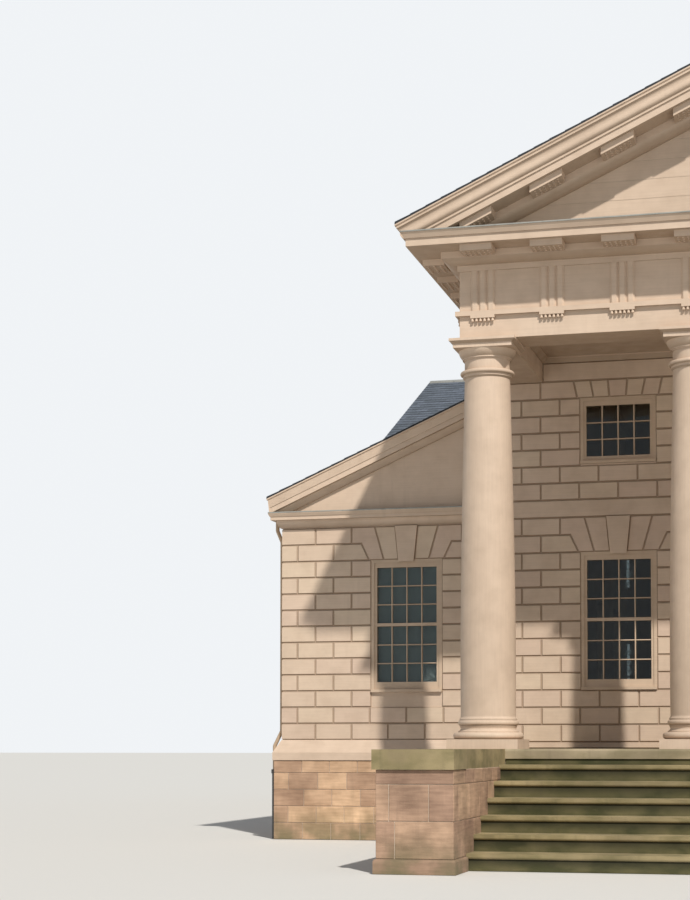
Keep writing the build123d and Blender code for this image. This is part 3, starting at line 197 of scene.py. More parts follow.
own_tone, given, result = new_group(
    "own_tone",
    [("Colour", "Color", None), ("Own", "Float", 0.5), ("Spread", "Float", 0.2)],
    [("Colour", "Color")],
)
offset = calculate(own_tone, "SUBTRACT", given["Own"], 0.5)
value = calculate(own_tone, "ADD", calculate(own_tone, "MULTIPLY", offset, given["Spread"]), 1.0)
turned = calculate(own_tone, "ADD", calculate(own_tone, "MULTIPLY", offset, 0.012), 0.5)
tinted = put(own_tone, "HueSaturation", {"Hue": turned, "Value": value, "Color": given["Colour"]})
own_tone.links.new(tinted.outputs[0], result["Colour"])

grain, given, result = new_group(
    "grain",
    [("Place", "Vector", None), ("Fineness", "Float", 100.0), ("Depth", "Float", 0.001)],
    [("Normal", "Vector")],
)
speckle = noise(grain, given["Place"], given["Fineness"], 3.0)
raised = put(grain, "Bump", {"Height": speckle, "Distance": given["Depth"], "Strength": 1.0})
grain.links.new(raised.outputs[0], result["Normal"])


def weathered(tree, place, colour, darker_colour, patches, streaks):
    """A colour that has weathered, and the roughness that goes with it."""
    return grouped(tree, weather, {"Colour": colour, "Dirt": darker_colour, "Place": place,
                                   "Patches": patches, "Streaks": streaks})


def grained(tree, place, fineness, depth):
    """A normal roughened by fine grain."""
    return grouped(tree, grain, {"Place": place, "Fineness": fineness, "Depth": depth})[0]


def own_toned(tree, colour, own, spread):
    """A colour made lighter or darker for each stone, block, slate or board."""
    return grouped(tree, own_tone, {"Colour": colour, "Own": own, "Spread": spread})[0]


def own_value(tree):
    """The value that each stone, block or slate of a piece has of its own."""
    return put(tree, "Attribute", {}, attribute_name="own").outputs["Fac"]


def dress(piece, material):
    """A finished new piece: its place in its mesh, its material and its body."""
    piece.data.transform(piece.matrix_world)
    piece.matrix_world = Matrix.Identity(4)
    piece.data.materials.clear()
    piece.data.materials.append(material)
    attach(piece, "root")


def coat(names, material):
    """A material for solids that show as they are."""
    for name in names:
        for slot in nodes[name].material_slots:
            slot.material = material
        if not nodes[name].material_slots:
            nodes[name].data.materials.append(material)


def stone_material(name, light, dark, darker_colour, spread):
    """Bedded sandstone, damp and greenish near the ground; each stone has a tone of its own."""
    material, tree, shader = new_material(name)
    place = object_place(tree)
    bedding = noise(tree, squeeze(tree, place, (3.0, 3.0, 30.0)), 1.0, 5.0)
    clouds = noise(tree, place, 2.6)
    bedding_share = stretch(tree, bedding, 0.4, 0.62, 0.0, 0.3)
    clouds_share = stretch(tree, clouds, 0.35, 0.65, 0.0, 0.7)
    bare = mix(tree, calculate(tree, "ADD", bedding_share, clouds_share), light, dark)
    worn = weathered(tree, place, own_toned(tree, bare, own_value(tree), spread), darker_colour, 0.35, 0.25)
    near_ground = stretch(tree, upward(tree, place), 0.0, 0.5, 0.75, 0.0)
    damp = calculate(tree, "MULTIPLY", near_ground, stretch(tree, clouds, 0.4, 0.6, 0.2, 1.0))
    plug(tree, shader, {
        "Base Color": mix(tree, damp, worn[0], paint(112, 110, 80)),
        "Normal": grained(tree, place, 130.0, 0.004),
        "Roughness": stretch(tree, worn[1], 0.45, 0.8, 0.75, 0.95),
    })
    return material


brownstone = stone_material("brownstone", paint(228, 190, 156), paint(174, 140, 112),
                            paint(104, 88, 76), 0.5)
# A darker copy of the brownstone for the podium's side and the cheek walls and their bases: partly their
# darker stains, partly painted shade.
stained_shaded_stone = stone_material("stained_shaded_brownstone", paint(208, 172, 144), paint(146, 118, 98),
                            paint(84, 72, 62), 0.4)
mortar, tree, shader = new_material("lime_mortar")
place = object_place(tree)
worn = weathered(tree, place, paint(218, 202, 182), paint(150, 130, 112), 0.7, 0.4)
plug(tree, shader, {"Base Color": worn[0], "Normal": grained(tree, place, 260.0, 0.003), "Roughness": 0.92})
coat(["podium", "cheek_walls", "main_foundation", "wing_foundations", "rear_foundation"], mortar)
coat(["cheek_bases"], stained_shaded_stone)

bpy.ops.object.select_all(action="DESELECT")


def bevel_where(piece, chosen, **bevel):
    """The edges of a piece bevelled whose two ends are both chosen. The piece is in object mode."""
    for edge in piece.data.edges:
        edge.select = all(chosen(piece.data.vertices[end].co) for end in edge.vertices)
    bpy.ops.object.mode_set(mode="EDIT")
    bpy.ops.mesh.select_mode(type="EDGE")
    bpy.ops.mesh.bevel(**bevel)


def bevelled_block(name, depth, bevel):
    """A block one metre square, to be pulled to size: its back is on the wall, its front rim bevelled."""
    bpy.ops.mesh.primitive_cube_add(size=1)
    block = bpy.context.object
    block.name = name
    bpy.ops.object.mode_set(mode="EDIT")
    bpy.ops.transform.resize(value=(1, depth, 1))
    bpy.ops.transform.translate(value=(0, -depth / 2, 0))
    bpy.ops.mesh.select_all(action="DESELECT")
    bpy.ops.object.mode_set(mode="OBJECT")
    bevel_where(block, lambda co: co.y < -depth / 2, offset=bevel, segments=1)
    bpy.ops.object.mode_set(mode="OBJECT")
    block.data.attributes.new("own", "FLOAT", "FACE")
    block["depth"] = depth
    block.select_set(False)
    return block


def copied(piece, name, matrix=None):
    """A copy of a piece, with a mesh of its own, moved by a matrix."""
    copy = bpy.data.objects.new(name, piece.data.copy())
    bpy.context.collection.objects.link(copy)
    if matrix:
        copy.data.transform(matrix)
    return copy


def lay(block, foot, head, low, high, own=0.5, mitred=(False, False)):
    """A copy of a block in a wall seen from outside. foot and head are where its left and right ends
    are at its lower and its upper edge, and own sets its tone. A mitred end meets the block round
    the corner."""
    copy = copied(block, "laid")
    for vertex in copy.data.vertices:
        x, y, z = vertex.co
        right = x > 0
        level = high - 0.5 + z if z > 0 else low + 0.5 + z
        end = foot[right] + (head[right] - foot[right]) * (level - low) / (high - low)
        inset = block["depth"] + y if mitred[right] else 0.5 - abs(x)
        vertex.co = (end - inset if right else end + inset, y, level)
    copy.data.attributes["own"].data.foreach_set("value", [own] * len(copy.data.polygons))
    return copy


def joined(pieces, name):
    """Several objects made one."""
    with bpy.context.temp_override(active_object=pieces[0], object=pieces[0], selected_objects=pieces,
                                   selected_editable_objects=pieces):
        bpy.ops.object.join()
    pieces[0].name = name
    return pieces[0]


FRONT, LEFT, BACK, RIGHT = 0, -90, 180, 90


def wall_place(x, y, turn):
    """The place of a wall's own zero, turned the way that the wall faces."""
    return Matrix.Translation((x, y, 0)) @ Matrix.Rotation(radians(turn), 4, "Z")


def on_wall(piece, x, y, turn):
    """A piece made from a wall's own zero, set on the wall."""
    piece.data.transform(wall_place(x, y, turn))
    return piece


def mirrored(piece):
    """A left-hand piece and its mirror image on the right."""
    piece.modifiers.new("right_half", "MIRROR").use_mirror_merge = False
    with bpy.context.temp_override(object=piece, active_object=piece):
        bpy.ops.object.modifier_apply(modifier="right_half")
    return piece


stone_depth, stone_bevel, stone_gap = 0.010, 0.004, 0.009
shortest_stone, longest_stone = 0.93, 1.07
last_stones = 1.4
podium_low, podium_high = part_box("podium")
cheek_low, cheek_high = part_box("cheek_walls")
steps_low, steps_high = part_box("stair_core")
main_base_low, main_base_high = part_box("main_foundation")
wing_base_low, wing_base_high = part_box("wing_foundations")
rear_base_low, rear_base_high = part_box("rear_foundation")
stone = bevelled_block("stone", stone_depth, stone_bevel)


def stone_wall(name, x, y, turn, length, courses, pitch, seed, joints=None):
    """A face of coursed stone from its left end to its right end, seen from outside, and its mirror
    image. The upright joints follow the pitch, with stones a little shorter and longer than it, unless
    they are given for each course."""
    draw = Random(seed)
    laid = []
    for number, (low, high) in enumerate(courses):
        shift = pitch / 2 if number % 2 else 0
        edges = [0]
        while edges[-1] < length - last_stones * pitch:
            first = pitch - shift if len(edges) == 1 and shift else pitch
            edges.append(edges[-1] + first * draw.uniform(shortest_stone, longest_stone))
        edges.append(length)
        if joints:
            edges = [0, *joints[number], length]
        for left, right in zip(edges, edges[1:]):
            ends = (left + stone_gap / 2, right - stone_gap / 2)
            laid.append(lay(stone, ends, ends, low + stone_gap / 2, high - stone_gap / 2, draw.random()))
    return mirrored(on_wall(joined(laid, name), x, y, turn))


full_courses = 4
base_course = 0.244
top_bed = full_courses * base_course
lower_courses = [(n * base_course, (n + 1) * base_course) for n in range(full_courses)]
base_courses = [*lower_courses, (top_bed, main_base_high.z)]
base_pitch, podium_pitch, cheek_pitch = 0.436, 0.6, 0.58
for name, x, y, turn, length in (
    ("wing_front", wing_base_low.x - stone_depth, wing_base_low.y, FRONT,
     main_base_low.x - wing_base_low.x + stone_depth),
    ("wing_side", wing_base_low.x, wing_base_high.y, LEFT, wing_base_high.y - wing_base_low.y),
    ("wing_back", main_base_low.x, wing_base_high.y, BACK,
     main_base_low.x - wing_base_low.x + stone_depth),
    ("main_corner", main_base_low.x, wing_base_low.y, LEFT, wing_base_low.y - podium_high.y),
    ("main_side", main_base_low.x, rear_base_low.y, LEFT, rear_base_low.y - wing_base_high.y),
    ("rear_return", rear_base_low.x - stone_depth, rear_base_low.y, FRONT,
     main_base_low.x - rear_base_low.x + stone_depth),
    ("rear_gable", rear_base_low.x, rear_base_high.y, LEFT, rear_base_high.y - rear_base_low.y),
    ("rear_back", 0, rear_base_high.y, BACK, rear_base_high.x + stone_depth),
):
    wall = stone_wall("base_" + name, x, y, turn, length, base_courses, base_pitch, seed=len(name))
    dress(wall, brownstone)

podium_courses = [*lower_courses, (top_bed, podium_high.z)]
wall = stone_wall("podium_side", podium_low.x, podium_high.y, LEFT, podium_high.y - podium_low.y,
                  podium_courses, podium_pitch, seed=3)
dress(wall, stained_shaded_stone)

cheek_depth = cheek_high.y - cheek_low.y
cheek_width = steps_low.x - cheek_low.x
cheek_beds = (cheek_low.z, 0.563, 0.957, cheek_high.z)
cheek_courses = list(zip(cheek_beds, cheek_beds[1:]))
cheek_front_joints = ((0.21,), (0.146, 0.583), ())
for name, x, y, turn, length, joints in (
    ("front", cheek_low.x - stone_depth, cheek_low.y, FRONT, cheek_width + 2 * stone_depth,
     cheek_front_joints),
    ("outside", cheek_low.x, cheek_high.y, LEFT, cheek_depth, None),
    ("inside", steps_low.x, cheek_low.y, RIGHT, cheek_depth, None),
):
    wall = stone_wall("cheek_" + name, x, y, turn, length, cheek_courses, cheek_pitch, 7, joints)
    dress(wall, stained_shaded_stone)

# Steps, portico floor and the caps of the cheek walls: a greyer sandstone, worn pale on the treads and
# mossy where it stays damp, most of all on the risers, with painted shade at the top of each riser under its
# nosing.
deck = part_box("portico_floor")[1].z
rise = deck / 7
# A near-black colour, painted as shade at the top of each riser under the nosing above it.
nosing_shade_colour = paint(34, 33, 22)


def step_material(name, light, dark, moss_light, moss_dark, mossiness, nosing_shade=0.0):
    """Greyish sandstone with moss on part of it, up to a share of about mossiness plus a third, and
    painted shade at the top of each riser, under its nosing."""
    material, tree, shader = new_material(name)
    place = object_place(tree)
    clouds = noise(tree, place, 1.3)
    moss = noise(tree, squeeze(tree, place, (1.0, 1.0, 2.0)), 2.4, 6.0)
    bare = mix(tree, stretch(tree, clouds, 0.38, 0.62, 0.0, 1.0), light, dark)
    green = mix(tree, stretch(tree, moss, 0.4, 0.6, 0.0, 1.0), moss_light, moss_dark)
    mossy = stretch(tree, moss, 0.36, 0.64, mossiness - 0.25, mossiness + 0.35)
    stains_and_shade = weathered(tree, place, mix(tree, mossy, bare, green), paint(84, 80, 64), 0.3, 0.3)[0]
    # Painted shade: the top part of each rise, under the nosing, is mixed towards the near-black colour.
    if nosing_shade:
        climbed = calculate(tree, "FRACT", calculate(tree, "DIVIDE", upward(tree, place), rise), 0)
        stains_and_shade = mix(tree, stretch(tree, climbed, 0.15, 0.65, 0.0, nosing_shade), stains_and_shade, nosing_shade_colour)
    rough = grained(tree, place, 110.0, 0.004)
    plug(tree, shader, {"Base Color": stains_and_shade, "Normal": rough, "Roughness": 0.9})
    return material


def remove(*pieces):
    """Pieces that were only there to be copied."""
    for piece in pieces:
        bpy.data.objects.remove(piece)


tread_stone = step_material("tread_stone", paint(180, 162, 124), paint(148, 133, 102),
                            paint(138, 129, 86), paint(108, 103, 66), 0.3)
riser_stone = step_material("riser_stone", paint(122, 112, 84), paint(94, 86, 62),
                            paint(94, 93, 55), paint(66, 68, 38), 0.6, nosing_shade=0.8)
floor_stone = step_material("floor_stone", paint(184, 168, 140), paint(156, 142, 118),
                            paint(146, 138, 102), paint(118, 112, 80), 0.1)
coat(["portico_floor"], floor_stone)
coat(["stair_treads", "cheek_caps"], tread_stone)
coat(["stair_core"], riser_stone)
step_ends = (steps_low.x, steps_high.x)
tread_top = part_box("stair_treads")[1].z
top_riser = lay(stone, step_ends, step_ends, tread_top, podium_high.z)
top_riser.name = "top_riser"
dress(on_wall(top_riser, 0, podium_low.y, FRONT), riser_stone)
remove(stone)

# Painted timber: old sanded paint the colour of pale sandstone over pine. The turned,
# moulded and boarded solids of the portico, cornices and window frames show as they are.
level_fibres, upright_fibres = (2.0, 2.0, 60.0), (60.0, 60.0, 2.0)
timber_colour = paint(218, 195, 173)
# This darker colour serves for real dirt and also for the painted shade on undersides and in grooves.
timber_dirt_and_shade = paint(136, 114, 94)


def timber_material(name, colour=timber_colour, darker_colour=timber_dirt_and_shade, spread=0.0, boards=0.0,
                    fibres=level_fibres, groove_shade=0.0):
    """Sanded paint, with painted shade on faces that point downwards. Blocks have a spread of tones and
    painted shade on the slopes of their grooves; level boards have hairline joints if their height is given."""
    material, tree, shader = new_material(name)
    place = object_place(tree)
    toned = own_toned(tree, colour, own_value(tree), spread) if spread else colour
    worn = weathered(tree, place, toned, darker_colour, 0.3, 0.12)
    fibre = noise(tree, squeeze(tree, place, fibres), 1.0, 4.0)
    surface_colour = mix(tree, stretch(tree, fibre, 0.42, 0.6, 0.0, 0.06), worn[0], darker_colour)
    outwards = put(tree, "NewGeometry", {}).outputs["True Normal"]
    # Painted shade: faces that point downwards are mixed towards the darker colour.
    surface_colour = mix(tree, stretch(tree, upward(tree, outwards), -0.7, -0.3, 0.6, 0.0), surface_colour, darker_colour)
    # Painted shade in the joints: faces that point neither straight along X nor along Y, such as the bevelled
    # slopes of the grooves, are mixed towards the darker colour.
    if groove_shade:
        sides = put(tree, "VectorMath", {0: outwards}, operation="ABSOLUTE").outputs[0]
        parts = put(tree, "SeparateXYZ", {0: sides}).outputs
        square = calculate(tree, "MAXIMUM", parts[0], parts[1])
        surface_colour = mix(tree, stretch(tree, square, 0.8, 0.95, groove_shade, 0.0), surface_colour, darker_colour)
    normal = grained(tree, place, 420.0, 0.0015)
    if boards:
        wander = calculate(tree, "MULTIPLY", noise(tree, place, 0.8), 0.02)
        height = calculate(tree, "ADD", upward(tree, place), wander)
        position = calculate(tree, "FRACT", calculate(tree, "DIVIDE", height, boards), 0)
        joint = stretch(tree, position, 0.0, 0.035, 1.0, 0.0)
        surface_colour = mix(tree, calculate(tree, "MULTIPLY", joint, 0.35), surface_colour, darker_colour)
        edge = stretch(tree, position, 0.0, 0.04, 0.0, 1.0)
        normal = put(tree, "Bump", {"Height": edge, "Distance": 0.003, "Normal": normal}).outputs[0]
    plug(tree, shader, {"Base Color": surface_colour, "Normal": normal, "Roughness": worn[1]})
    return material


trim = timber_material("painted_trim")
staves = timber_material("painted_staves", fibres=upright_fibres)
boarding = timber_material("painted_boards", boards=0.24)
facing = timber_material("painted_blocks", spread=0.05, groove_shade=0.5)
sash_paint = timber_material("sash_paint", colour=paint(210, 187, 163))
coat(["column_1", "column_2", "column_3", "column_4"], staves)
coat(["front_entablature", "side_entablatures", "front_cornice",
      "side_cornices", "left_raking_cornice", "right_raking_cornice", "rear_entablature", "rear_cornice",
      "rear_raking_cornices", "wing_cornices", "wing_raking_cornices", "water_table", "keystones",
      "door_frame", "main_front_wall", "main_side_walls", "rear_front_walls", "rear_gable_walls",
      "rear_back_wall", "wing_front_walls", "wing_back_walls", "wing_side_walls"], trim)
coat(["front_tympanum", "rear_tympana", "portico_ceiling"], boarding)
coat(["window_frames"], sash_paint)

# Wall facing: pine blocks with bevelled edges that imitate cut stone, nailed to the
# boarded walls in level courses, with a flat arch of wedges over each window.
block_depth = 0.020
block_bevel = 0.016
half_opening = 0.527
sill, head = deck + 0.820, deck + 2.754
upper_sill, upper_head = deck + 3.998, deck + 4.930
arch_top, belt_top = deck + 3.248, deck + 3.497
wall_top = deck + 5.180
facing_block = bevelled_block("facing_block", block_depth, block_bevel)
arch_middle = (head + arch_top) / 2
courses_below, upper_rows = 11, 6
bed_slack, middle_clearance = 0.02, 0.1
# The joints of a flat arch, at its foot and at its head, from the middle of its window.
wedge_feet = (0.116, 0.336, 0.558)
wedge_heads = (0.165, 0.475)
crossette_top = 0.675
upper_feet = (0.115, 0.335, 0.568)
upper_heads = (0.136, 0.385, 0.620)


def crossette(outer):
    """The outer wedge on the right of a flat arch, whose upper half runs out to a joint of the bond."""
    bpy.ops.mesh.primitive_grid_add(x_subdivisions=2, y_subdivisions=2, size=2)
    wedge = bpy.context.object
    arch_slant = (wedge_feet[1] + wedge_heads[1]) / 2
    levels = (head, arch_middle, arch_top)
    joints = (
        (wedge_feet[1], wedge_feet[2], outer),
        (arch_slant, crossette_top, outer),
        (wedge_heads[1], crossette_top, outer),
    )
    bpy.ops.object.mode_set(mode="EDIT")
    bpy.ops.mesh.select_mode(type="FACE")
    bpy.ops.mesh.select_all(action="DESELECT")
    bpy.ops.object.mode_set(mode="OBJECT")
    for polygon in wedge.data.polygons:
        polygon.select = polygon.center.x > 0 > polygon.center.y
    bpy.ops.object.mode_set(mode="EDIT")
    bpy.ops.mesh.delete(type="FACE")
    bpy.ops.object.mode_set(mode="OBJECT")
    for vertex in wedge.data.vertices:
        column, row = round(vertex.co.x) + 1, round(vertex.co.y) + 1
        vertex.co = (joints[row][column], -block_depth, levels[row])
    bpy.ops.object.mode_set(mode="EDIT")
    bpy.ops.mesh.select_all(action="SELECT")
    bpy.ops.mesh.dissolve_limited(angle_limit=radians(1))
    bpy.ops.mesh.select_all(action="SELECT")
    bpy.ops.mesh.extrude_region_move(TRANSFORM_OT_translate={"value": (0, block_depth, 0)})
    bpy.ops.mesh.select_all(action="DESELECT")
    bpy.ops.object.mode_set(mode="OBJECT")
    bevel_where(wedge, lambda co: co.y < -block_depth / 2, offset=block_bevel, segments=1)
    bpy.ops.mesh.select_all(action="SELECT")
    bpy.ops.mesh.normals_make_consistent(inside=False)
    bpy.ops.object.mode_set(mode="OBJECT")
    wedge.data.attributes.new("own", "FLOAT", "FACE")
    wedge.select_set(False)
    return wedge


flip = Matrix.Scale(-1, 4, (1, 0, 0))


def beside_window(wedge, x, flipped):
    """A copy of a wedge beside a window, or its mirror image."""
    copy = copied(wedge, "laid", flip if flipped else None)
    if flipped:
        copy.data.flip_normals()
    copy.data.transform(Matrix.Translation((x, 0, 0)))
    return copy


def bond(middle, pitch, start, end, half):
    """The upright joints of a course. half shifts them by half a block."""
    first = middle + (pitch / 2 if half else 0)
    count = ceil((end - start) / pitch) + 1
    return [x for n in range(-count, count + 1) if start < (x := first + n * pitch) < end]


def holes_at(middles, foot, top):
    """The holes that a row of windows leaves in a course, foot and top from each window's middle."""
    return [(u - foot, u - top, u + foot, u + top) for u in middles]


def flat_wedge(u, side, feet, heads, low, high, own):
    """One wedge of a flat arch, left or right of its keystone."""
    foot_ends = sorted(u + side * x for x in feet)
    head_ends = sorted(u + side * x for x in heads)
    return lay(facing_block, foot_ends, head_ends, low, high, own)


def spans_between(start, end, holes):
    """The stretches of a course between its holes. A hole is its left end at foot and head and its
    right end at foot and head."""
    spans = []
    foot, top = start, start
    for hole in sorted(holes):
        if hole[0] > start and hole[2] < end:
            spans.append((foot, top, hole[0], hole[1]))
            foot, top = hole[2], hole[3]
    spans.append((foot, top, end, end))
    return spans


def course(block, spans, joints, low, high, draw, corners=(False, False), gap=0.0, least=0.14):
    """One course of blocks. spans are the stretches of wall between openings, each as its left end and
    its right end at the lower and the upper edge; joints are the upright joints of the bond. No block
    is narrower than least."""
    laid = []
    for number, (foot_left, head_left, foot_right, head_right) in enumerate(spans):
        first = max(foot_left, head_left) + least
        last = min(foot_right, head_right) - least
        inner = [x for x in joints if first < x < last]
        feet = [foot_left, *inner, foot_right]
        heads = [head_left, *inner, head_right]
        for n in range(len(feet) - 1):
            mitred = (corners[0] and number == 0 and n == 0,
                      corners[1] and number == len(spans) - 1 and n == len(feet) - 2)
            foot = (feet[n] + gap / 2, feet[n + 1] - gap / 2)
            head = (heads[n] + gap / 2, heads[n + 1] - gap / 2)
            laid.append(lay(block, foot, head, low, high, draw.random(), mitred))
    return laid


def faced_wall(name, x, y, turn, start, end, lower, upper, pitch, foot, top, corners, doorway=None, seed=1):
    """The facing of one wall. lower and upper are the middles of its windows along the wall, which runs
    from start to end, seen from outside; doorway is half the width of a door casing at its middle."""
    draw = Random(seed)
    laid = []
    middle = lower[0] if lower else 0
    beds = [foot + (head - foot) * n / courses_below for n in range(courses_below + 1)]
    outer = pitch * 1.5
    wedge = crossette(outer)

    def joints_of(half):
        """The joints of a course; those of the portico's wall are laid out from both of its windows,
        with one in the middle of every other course."""
        joints = bond(middle, pitch, start, end, half)
        if doorway is None:
            return joints
        left_half = [x for x in joints if x < -middle_clearance]
        return [*left_half, *([] if half else [0]), *[-x for x in reversed(left_half)]]

    def lay_course(low, high, half, holes):
        """The blocks of one course, round its holes."""
        spans = spans_between(start, end, holes)
        laid.extend(course(facing_block, spans, joints_of(half), low, high, draw, corners))

    for n, (low, high) in enumerate(zip(beds, beds[1:])):
        holes = holes_at(lower if high > sill + bed_slack else (), half_opening, half_opening)
        if doorway:
            holes += holes_at((0,), doorway, doorway)
        lay_course(low, high, n % 2 == 0, holes)
    lay_course(head, arch_middle, False, holes_at(lower, wedge_feet[2], crossette_top))
    lay_course(arch_middle, min(arch_top, top), True, holes_at(lower, outer, outer))
    for u in lower:
        for side in (-1, 1):
            laid.append(flat_wedge(u, side, wedge_feet[:2], wedge_heads, head, arch_top, draw.random()))
            laid.append(beside_window(wedge, u, side < 0))
    if top > belt_top:
        laid.append(lay(facing_block, (start, end), (start, end), arch_top, belt_top, mitred=corners))
        beds = [belt_top + (upper_head - belt_top) * n / upper_rows for n in range(upper_rows + 1)]
        for n, (low, high) in enumerate(zip(beds, beds[1:])):
            holes = holes_at(upper if high > upper_sill + bed_slack else (), half_opening, half_opening)
            lay_course(low, high, n % 2 == 1, holes)
        lay_course(upper_head, wall_top, upper_rows % 2 == 1, holes_at(upper, upper_feet[2], upper_heads[2]))
        for u in upper:
            middle_foot, middle_head = (-upper_feet[0], upper_feet[0]), (-upper_heads[0], upper_heads[0])
            laid.append(flat_wedge(u, 1, middle_foot, middle_head, upper_head, wall_top, draw.random()))
            for side in (-1, 1):
                for n in (0, 1):
                    laid.append(flat_wedge(u, side, upper_feet[n:n + 2], upper_heads[n:n + 2],
                                           upper_head, wall_top, draw.random()))
    remove(wedge)
    return on_wall(joined(laid, name), x, y, turn)


window_pitch = 2.6
portico_pitch, wing_pitch, plain_pitch = 0.545, 0.55, window_pitch / 5
beam_width = 0.6
table_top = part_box("water_table")[1].z
portico_foot = deck + 0.091
wing_top = deck + 3.258
half_front = (column_low.x + column_high.x) / -2 + beam_width / 2
y_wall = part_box("main_front_wall")[0].y
wing_front_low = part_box("wing_front_walls")[0]
wing_back_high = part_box("wing_back_walls")[1]
rear_low, rear_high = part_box("rear_gable_walls")
main_left = -half_front + block_depth
wing_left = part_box("wing_side_walls")[0].x
rear_left = rear_low.x
wing_window = -5.73
door_casing = 0.9
three = (-window_pitch, 0, window_pitch)
wing_middle = (wing_front_low.y + wing_back_high.y) / 2
side_middle = (wing_back_high.y + rear_low.y) / 2
rear_middle = (rear_low.y + rear_high.y) / 2
return_middle = (rear_left + main_left) / 2 - block_depth
# Each wall has its name, the place of its own zero and the way it faces, its ends, its lower and
# upper windows, the pitch of its blocks, its foot and top, its outer corners and its doorway.
walls = (
    ("portico", 0, y_wall, FRONT, -half_front, half_front, (-window_pitch, window_pitch), three,
     portico_pitch, portico_foot, wall_top, (True, True), door_casing),
    ("main_corner", main_left, y_wall, LEFT, y_wall - wing_front_low.y, block_depth, (), (),
     plain_pitch, table_top, wall_top, (False, True), None),
    ("wing_front", wing_window, wing_front_low.y, FRONT, wing_left - block_depth - wing_window,
     main_left - block_depth - wing_window, (0,), (), wing_pitch, table_top, wing_top, (True, False), None),
    ("wing_side", wing_left, wing_middle, LEFT, wing_middle - wing_back_high.y - block_depth,
     wing_middle - wing_front_low.y + block_depth, (0,), (), wing_pitch, table_top, wing_top,
     (True, True), None),
    ("wing_back", wing_window, wing_back_high.y, BACK, wing_window - main_left + block_depth,
     wing_window - wing_left + block_depth, (0,), (), wing_pitch, table_top, wing_top, (False, True), None),
    ("main_side", main_left, side_middle, LEFT, side_middle - rear_low.y + block_depth,
     side_middle - wing_back_high.y - block_depth, three, three, plain_pitch, table_top, wall_top,
     (False, False), None),
    ("rear_return", return_middle, rear_low.y, FRONT, rear_left - block_depth - return_middle,
     main_left - block_depth - return_middle, (0,), (0,), plain_pitch, table_top, wall_top,
     (True, False), None),
    ("rear_gable", rear_left, rear_middle, LEFT, rear_middle - rear_high.y - block_depth,
     rear_middle - rear_low.y + block_depth, three, three, plain_pitch, table_top, wall_top,
     (True, True), None),
)
for seed, (name, *layout) in enumerate(walls, start=1):
    wall = faced_wall("facing_" + name, *layout, seed=seed)
    if name != "portico":
        mirrored(wall)
    dress(wall, facing)
five = (-2 * window_pitch, -window_pitch, 0, window_pitch, 2 * window_pitch)
back_line = rear_left - block_depth
wall = faced_wall("facing_rear_back", 0, rear_high.y, BACK, back_line, -back_line, five, five,
                  plain_pitch, table_top, wall_top, (True, True), seed=20)
dress(wall, facing)

# Strips of the portico's wall: a base board on the floor, a frieze board above the
# blocks, and a crown moulding that goes round under the ceiling.
ceiling_low, ceiling_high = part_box("portico_ceiling")
half_ceiling = half_front - beam_width
crown_height = 0.075
strips = []
for left, right, low, high, corners in (
    (-half_front, -door_casing, deck, portico_foot, (True, False)),
    (door_casing, half_front, deck, portico_foot, (False, True)),
    (-half_ceiling, half_ceiling, wall_top, ceiling_low.z - crown_height, (False, False)),
):
    strips.append(lay(facing_block, (left, right), (left, right), low, high, mitred=corners))
dress(on_wall(joined(strips, "portico_boards"), 0, y_wall, FRONT), facing)
remove(facing_block)


def moulded_ring(name, width, length, band, thickness, moulding, steps, shape):
    """A rectangular frame that lies flat with its back down. Its inner upper edge is a moulding, full
    where shape is over a half and hollow where it is under."""
    bpy.ops.mesh.primitive_plane_add(size=1)
    ring = bpy.context.object
    ring.name = name
    bpy.ops.object.mode_set(mode="EDIT")
    bpy.ops.transform.resize(value=(width, length, 1))
    bpy.ops.mesh.inset(thickness=band)
    bpy.ops.mesh.delete(type="FACE")
    bpy.ops.mesh.select_all(action="SELECT")
    bpy.ops.mesh.extrude_region_move(TRANSFORM_OT_translate={"value": (0, 0, thickness)})
    bpy.ops.mesh.select_all(action="DESELECT")
    bpy.ops.object.mode_set(mode="OBJECT")

    def on_inner_rim(co):
        """Whether a corner is on the upper edge of the ring's opening."""
        return co.z > thickness / 2 and abs(co.x) < (width - band) / 2 and abs(co.y) < (length - band) / 2

    bevel_where(ring, on_inner_rim, offset=moulding, segments=steps, profile=shape)
    bpy.ops.mesh.select_all(action="SELECT")
    bpy.ops.mesh.normals_make_consistent(inside=False)
    bpy.ops.object.mode_set(mode="OBJECT")
    ring.select_set(False)
    return ring


crown_back = ceiling_high.y - block_depth / 2
crown = moulded_ring("portico_crown", 2 * half_ceiling, crown_back - ceiling_low.y, band=0.085,
                     thickness=crown_height, moulding=0.06, steps=5, shape=0.25)
crown.data.transform(Matrix.Translation((0, (ceiling_low.y + crown_back) / 2, ceiling_low.z))
                     @ Matrix.Rotation(radians(180), 4, "X"))
dress(crown, trim)

# Pegs of the cornice: turned pine pegs in three rows of six, glued into the underside of
# each mutule, and one row of six longer ones under each triglyph of the sides and the back.
peg_radius, peg_length = 0.014, 0.016
bpy.ops.mesh.primitive_cylinder_add(vertices=10, radius=peg_radius, depth=peg_length)
peg = bpy.context.object
peg.name = "peg"
bpy.ops.object.mode_set(mode="EDIT")
bpy.ops.mesh.select_mode(type="FACE")
bpy.ops.mesh.select_all(action="DESELECT")
bpy.ops.object.mode_set(mode="OBJECT")
for polygon in peg.data.polygons:
    polygon.select = polygon.normal.z < -0.9
bpy.ops.object.mode_set(mode="EDIT")
bpy.ops.transform.resize(value=(1.15, 1.15, 1))
bpy.ops.mesh.bevel(offset=0.003, segments=1)
bpy.ops.object.mode_set(mode="OBJECT")
peg.data.transform(Matrix.Translation((0, 0, -peg_length / 2)))
peg.select_set(False)
gutta_foot, gutta_head, gutta_length = 0.020, 0.013, 0.040
